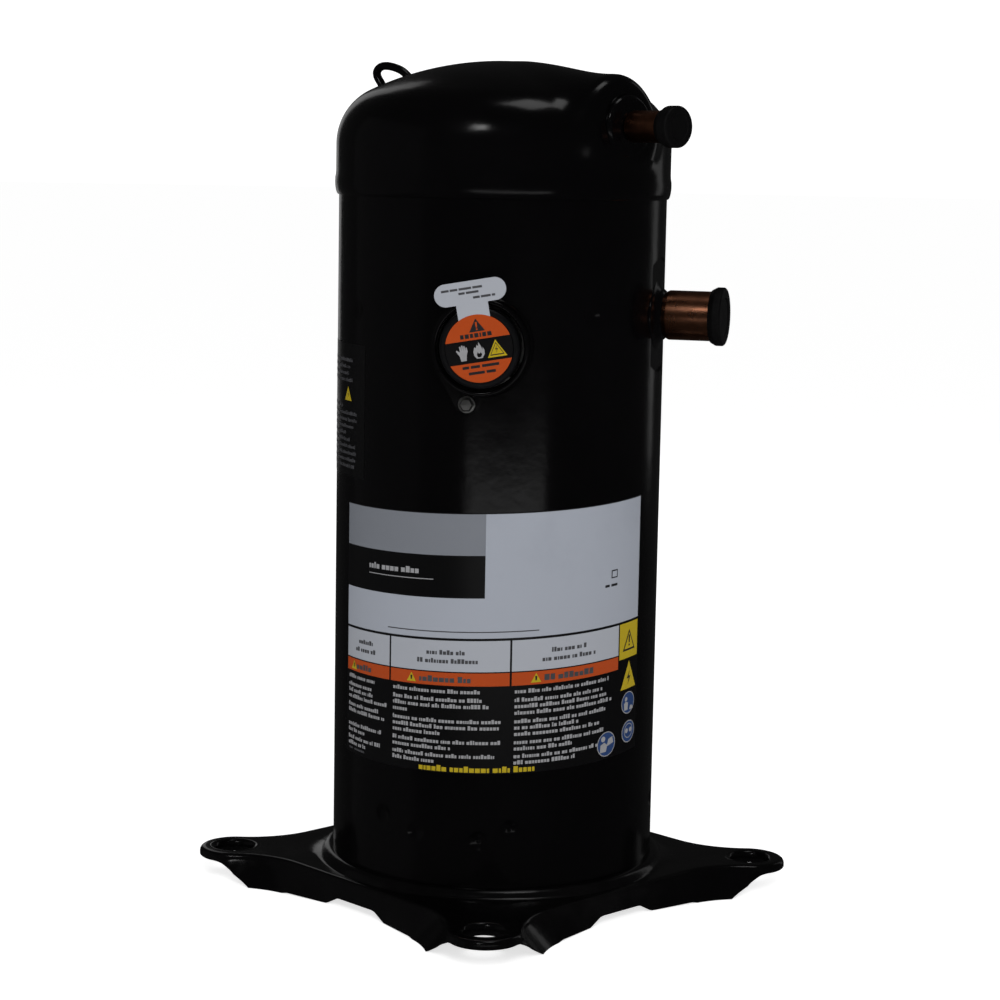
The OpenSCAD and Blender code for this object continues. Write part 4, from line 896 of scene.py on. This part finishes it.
# ---------------------------------------------------------------- carried-over solids, steel unless named here
NODE_MATERIALS = {
    PAINT: ("shell_tube", "bottom_cap"),
    IRON: ("bearing_housing", "orbiting_scroll", "fixed_scroll", "lower_bracket", "sump_magnet"),
    BRASS: ("main_bush", "drive_bush", "hub_bush", "lower_bush", "relief_valve_body", "lower_counterweight",
            "floating_seal"),
    ALUMINIUM: ("rotor_cage", "oldham_ring"),
    CREAM: ("lead_wires", "slot_liners", "seal_rings"),
    WINDING: ("stator_winding",),
    GLASS: ("terminal_glass",),
    PLASTIC: ("overload_protector",),
    RED: ("inner_connector",),
}
for node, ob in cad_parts.items():
    paint(ob, next((m for m, nodes in NODE_MATERIALS.items() if node in nodes), STEEL))


# ---------------------------------------------------------------- floor, light and camera
def glow(name, tone, strength):
    """A matt studio surface that also gives off a little light of its own."""
    m = material(name, (tone, tone, tone), 0.9, vary=0.005, bump=0.0, spec=0.0)
    shader = m.node_tree.nodes["Principled BSDF"]
    shader.inputs["Emission Color"].default_value = (1, 1, 1, 1)
    shader.inputs["Emission Strength"].default_value = strength
    return m


def seen_by(ob, camera=True, diffuse=True, glossy=True, shadow=True):
    ob.visible_camera, ob.visible_diffuse, ob.visible_glossy = camera, diffuse, glossy
    ob.visible_transmission, ob.visible_volume_scatter, ob.visible_shadow = glossy, False, shadow


def studio_piece(name, m, **sees):
    """Names, paints and stages the object that was made last."""
    ob = bpy.context.object
    ob.name = name
    paint(ob, m)
    seen_by(ob, **sees)


bpy.ops.mesh.primitive_plane_add(size=60, location=(0, 0, 0))
studio_piece("studio_floor", glow("floor", 0.9, 0.72), glossy=False)
for name, size, strength, sees in (("studio_backdrop", 24.0, 1.2, dict(diffuse=False, glossy=False)),
                                   ("studio_surround", 20.0, 0.016, dict(camera=False, diffuse=False))):
    bpy.ops.mesh.primitive_uv_sphere_add(segments=64, ring_count=32, radius=size, location=(0, 0, 0))
    studio_piece(name, glow(name, 0.0, strength), shadow=False, **sees)

world = bpy.data.worlds.new("studio")
bpy.context.scene.world = world
world.use_nodes = True
background = world.node_tree.nodes["Background"]
background.inputs["Color"].default_value = (1, 1, 1, 1)
background.inputs["Strength"].default_value = 0.30
world.cycles_visibility.glossy = False

TO_FRONT = Vector((0.70711, -0.70711, 0))
TO_RIGHT = Vector((0.70711, 0.70711, 0))
TO_TOP = Vector((0, 0, 1))


def softbox(name, front, right, up, aim, size, energy, size_y=None, **sees):
    """An area light at distances in metres towards the front, right and top, aimed at a height on the axis."""
    data = bpy.data.lights.new(name, "AREA")
    data.shape = "RECTANGLE"
    data.size, data.size_y = size, size_y or size
    data.energy = energy
    ob = bpy.data.objects.new(name, data)
    bpy.context.scene.collection.objects.link(ob)
    ob.location = TO_FRONT * front + TO_RIGHT * right + TO_TOP * up
    ob.rotation_mode = "QUATERNION"
    ob.rotation_quaternion = (Vector((0, 0, aim)) - ob.location).to_track_quat("-Z", "Y")
    seen_by(ob, camera=False, **sees)


softbox("key", 1.35, 0.1, 1.0, 0.2, 0.5, 8.8, glossy=False)
softbox("sparkle", 1.2, -0.35, 1.15, 0.25, 0.2, 0.6, diffuse=False)
softbox("sparkle_high", 0.2, 0.3, 1.9, 0.3, 0.5, 1.0, diffuse=False)
softbox("card_left", 0.1, -1.5, 0.35, 0.3, 1.9, 0.18, 1.7, diffuse=False)
softbox("card_low", 0.9, 0.1, 0.06, 0.05, 0.9, 0.16, 0.1, diffuse=False)
softbox("back_fill", -1.5, 0.5, 1.1, 0.2, 0.9, 6.0, glossy=False)
softbox("back_card", -1.6, -0.6, 0.7, 0.2, 0.35, 0.6, 1.5, diffuse=False)
softbox("back_card_right", -1.3, 1.4, 0.7, 0.2, 0.3, 0.35, 1.5, diffuse=False)


def camera():
    """Stands almost in front of the front ear and looks slightly down."""
    data = bpy.data.cameras.new("camera")
    cam = bpy.data.objects.new("camera", data)
    bpy.context.scene.collection.objects.link(cam)
    bpy.context.scene.camera = cam
    data.sensor_width, data.lens = 36.0, 90.11
    data.clip_start, data.clip_end = 0.05, 60
    distance, height = 1271.4, 362.2 + PLATE_Z
    azimuth, pitch, roll, yaw = (math.radians(v) for v in (1.104 + FRONT_A, 7.931, 1.032, 0.053))

    def turned(a, b, angle):
        return a * math.cos(angle) + b * math.sin(angle), b * math.cos(angle) - a * math.sin(angle)

    ahead = Vector((-math.cos(azimuth), -math.sin(azimuth), 0))
    right = Vector((-math.sin(azimuth), math.cos(azimuth), 0))
    ahead, right = turned(ahead, right, yaw)
    up, ahead = turned(TO_TOP, ahead, pitch)
    right, up = turned(right, up, roll)
    cam.rotation_mode = "QUATERNION"
    cam.rotation_quaternion = Matrix((right, up, -ahead)).transposed().to_quaternion()
    cam.location = (distance * math.cos(azimuth) * MM, distance * math.sin(azimuth) * MM, height * MM)


camera()
bpy.context.scene.view_settings.view_transform = "Standard"
bpy.context.scene.view_settings.look = "None"
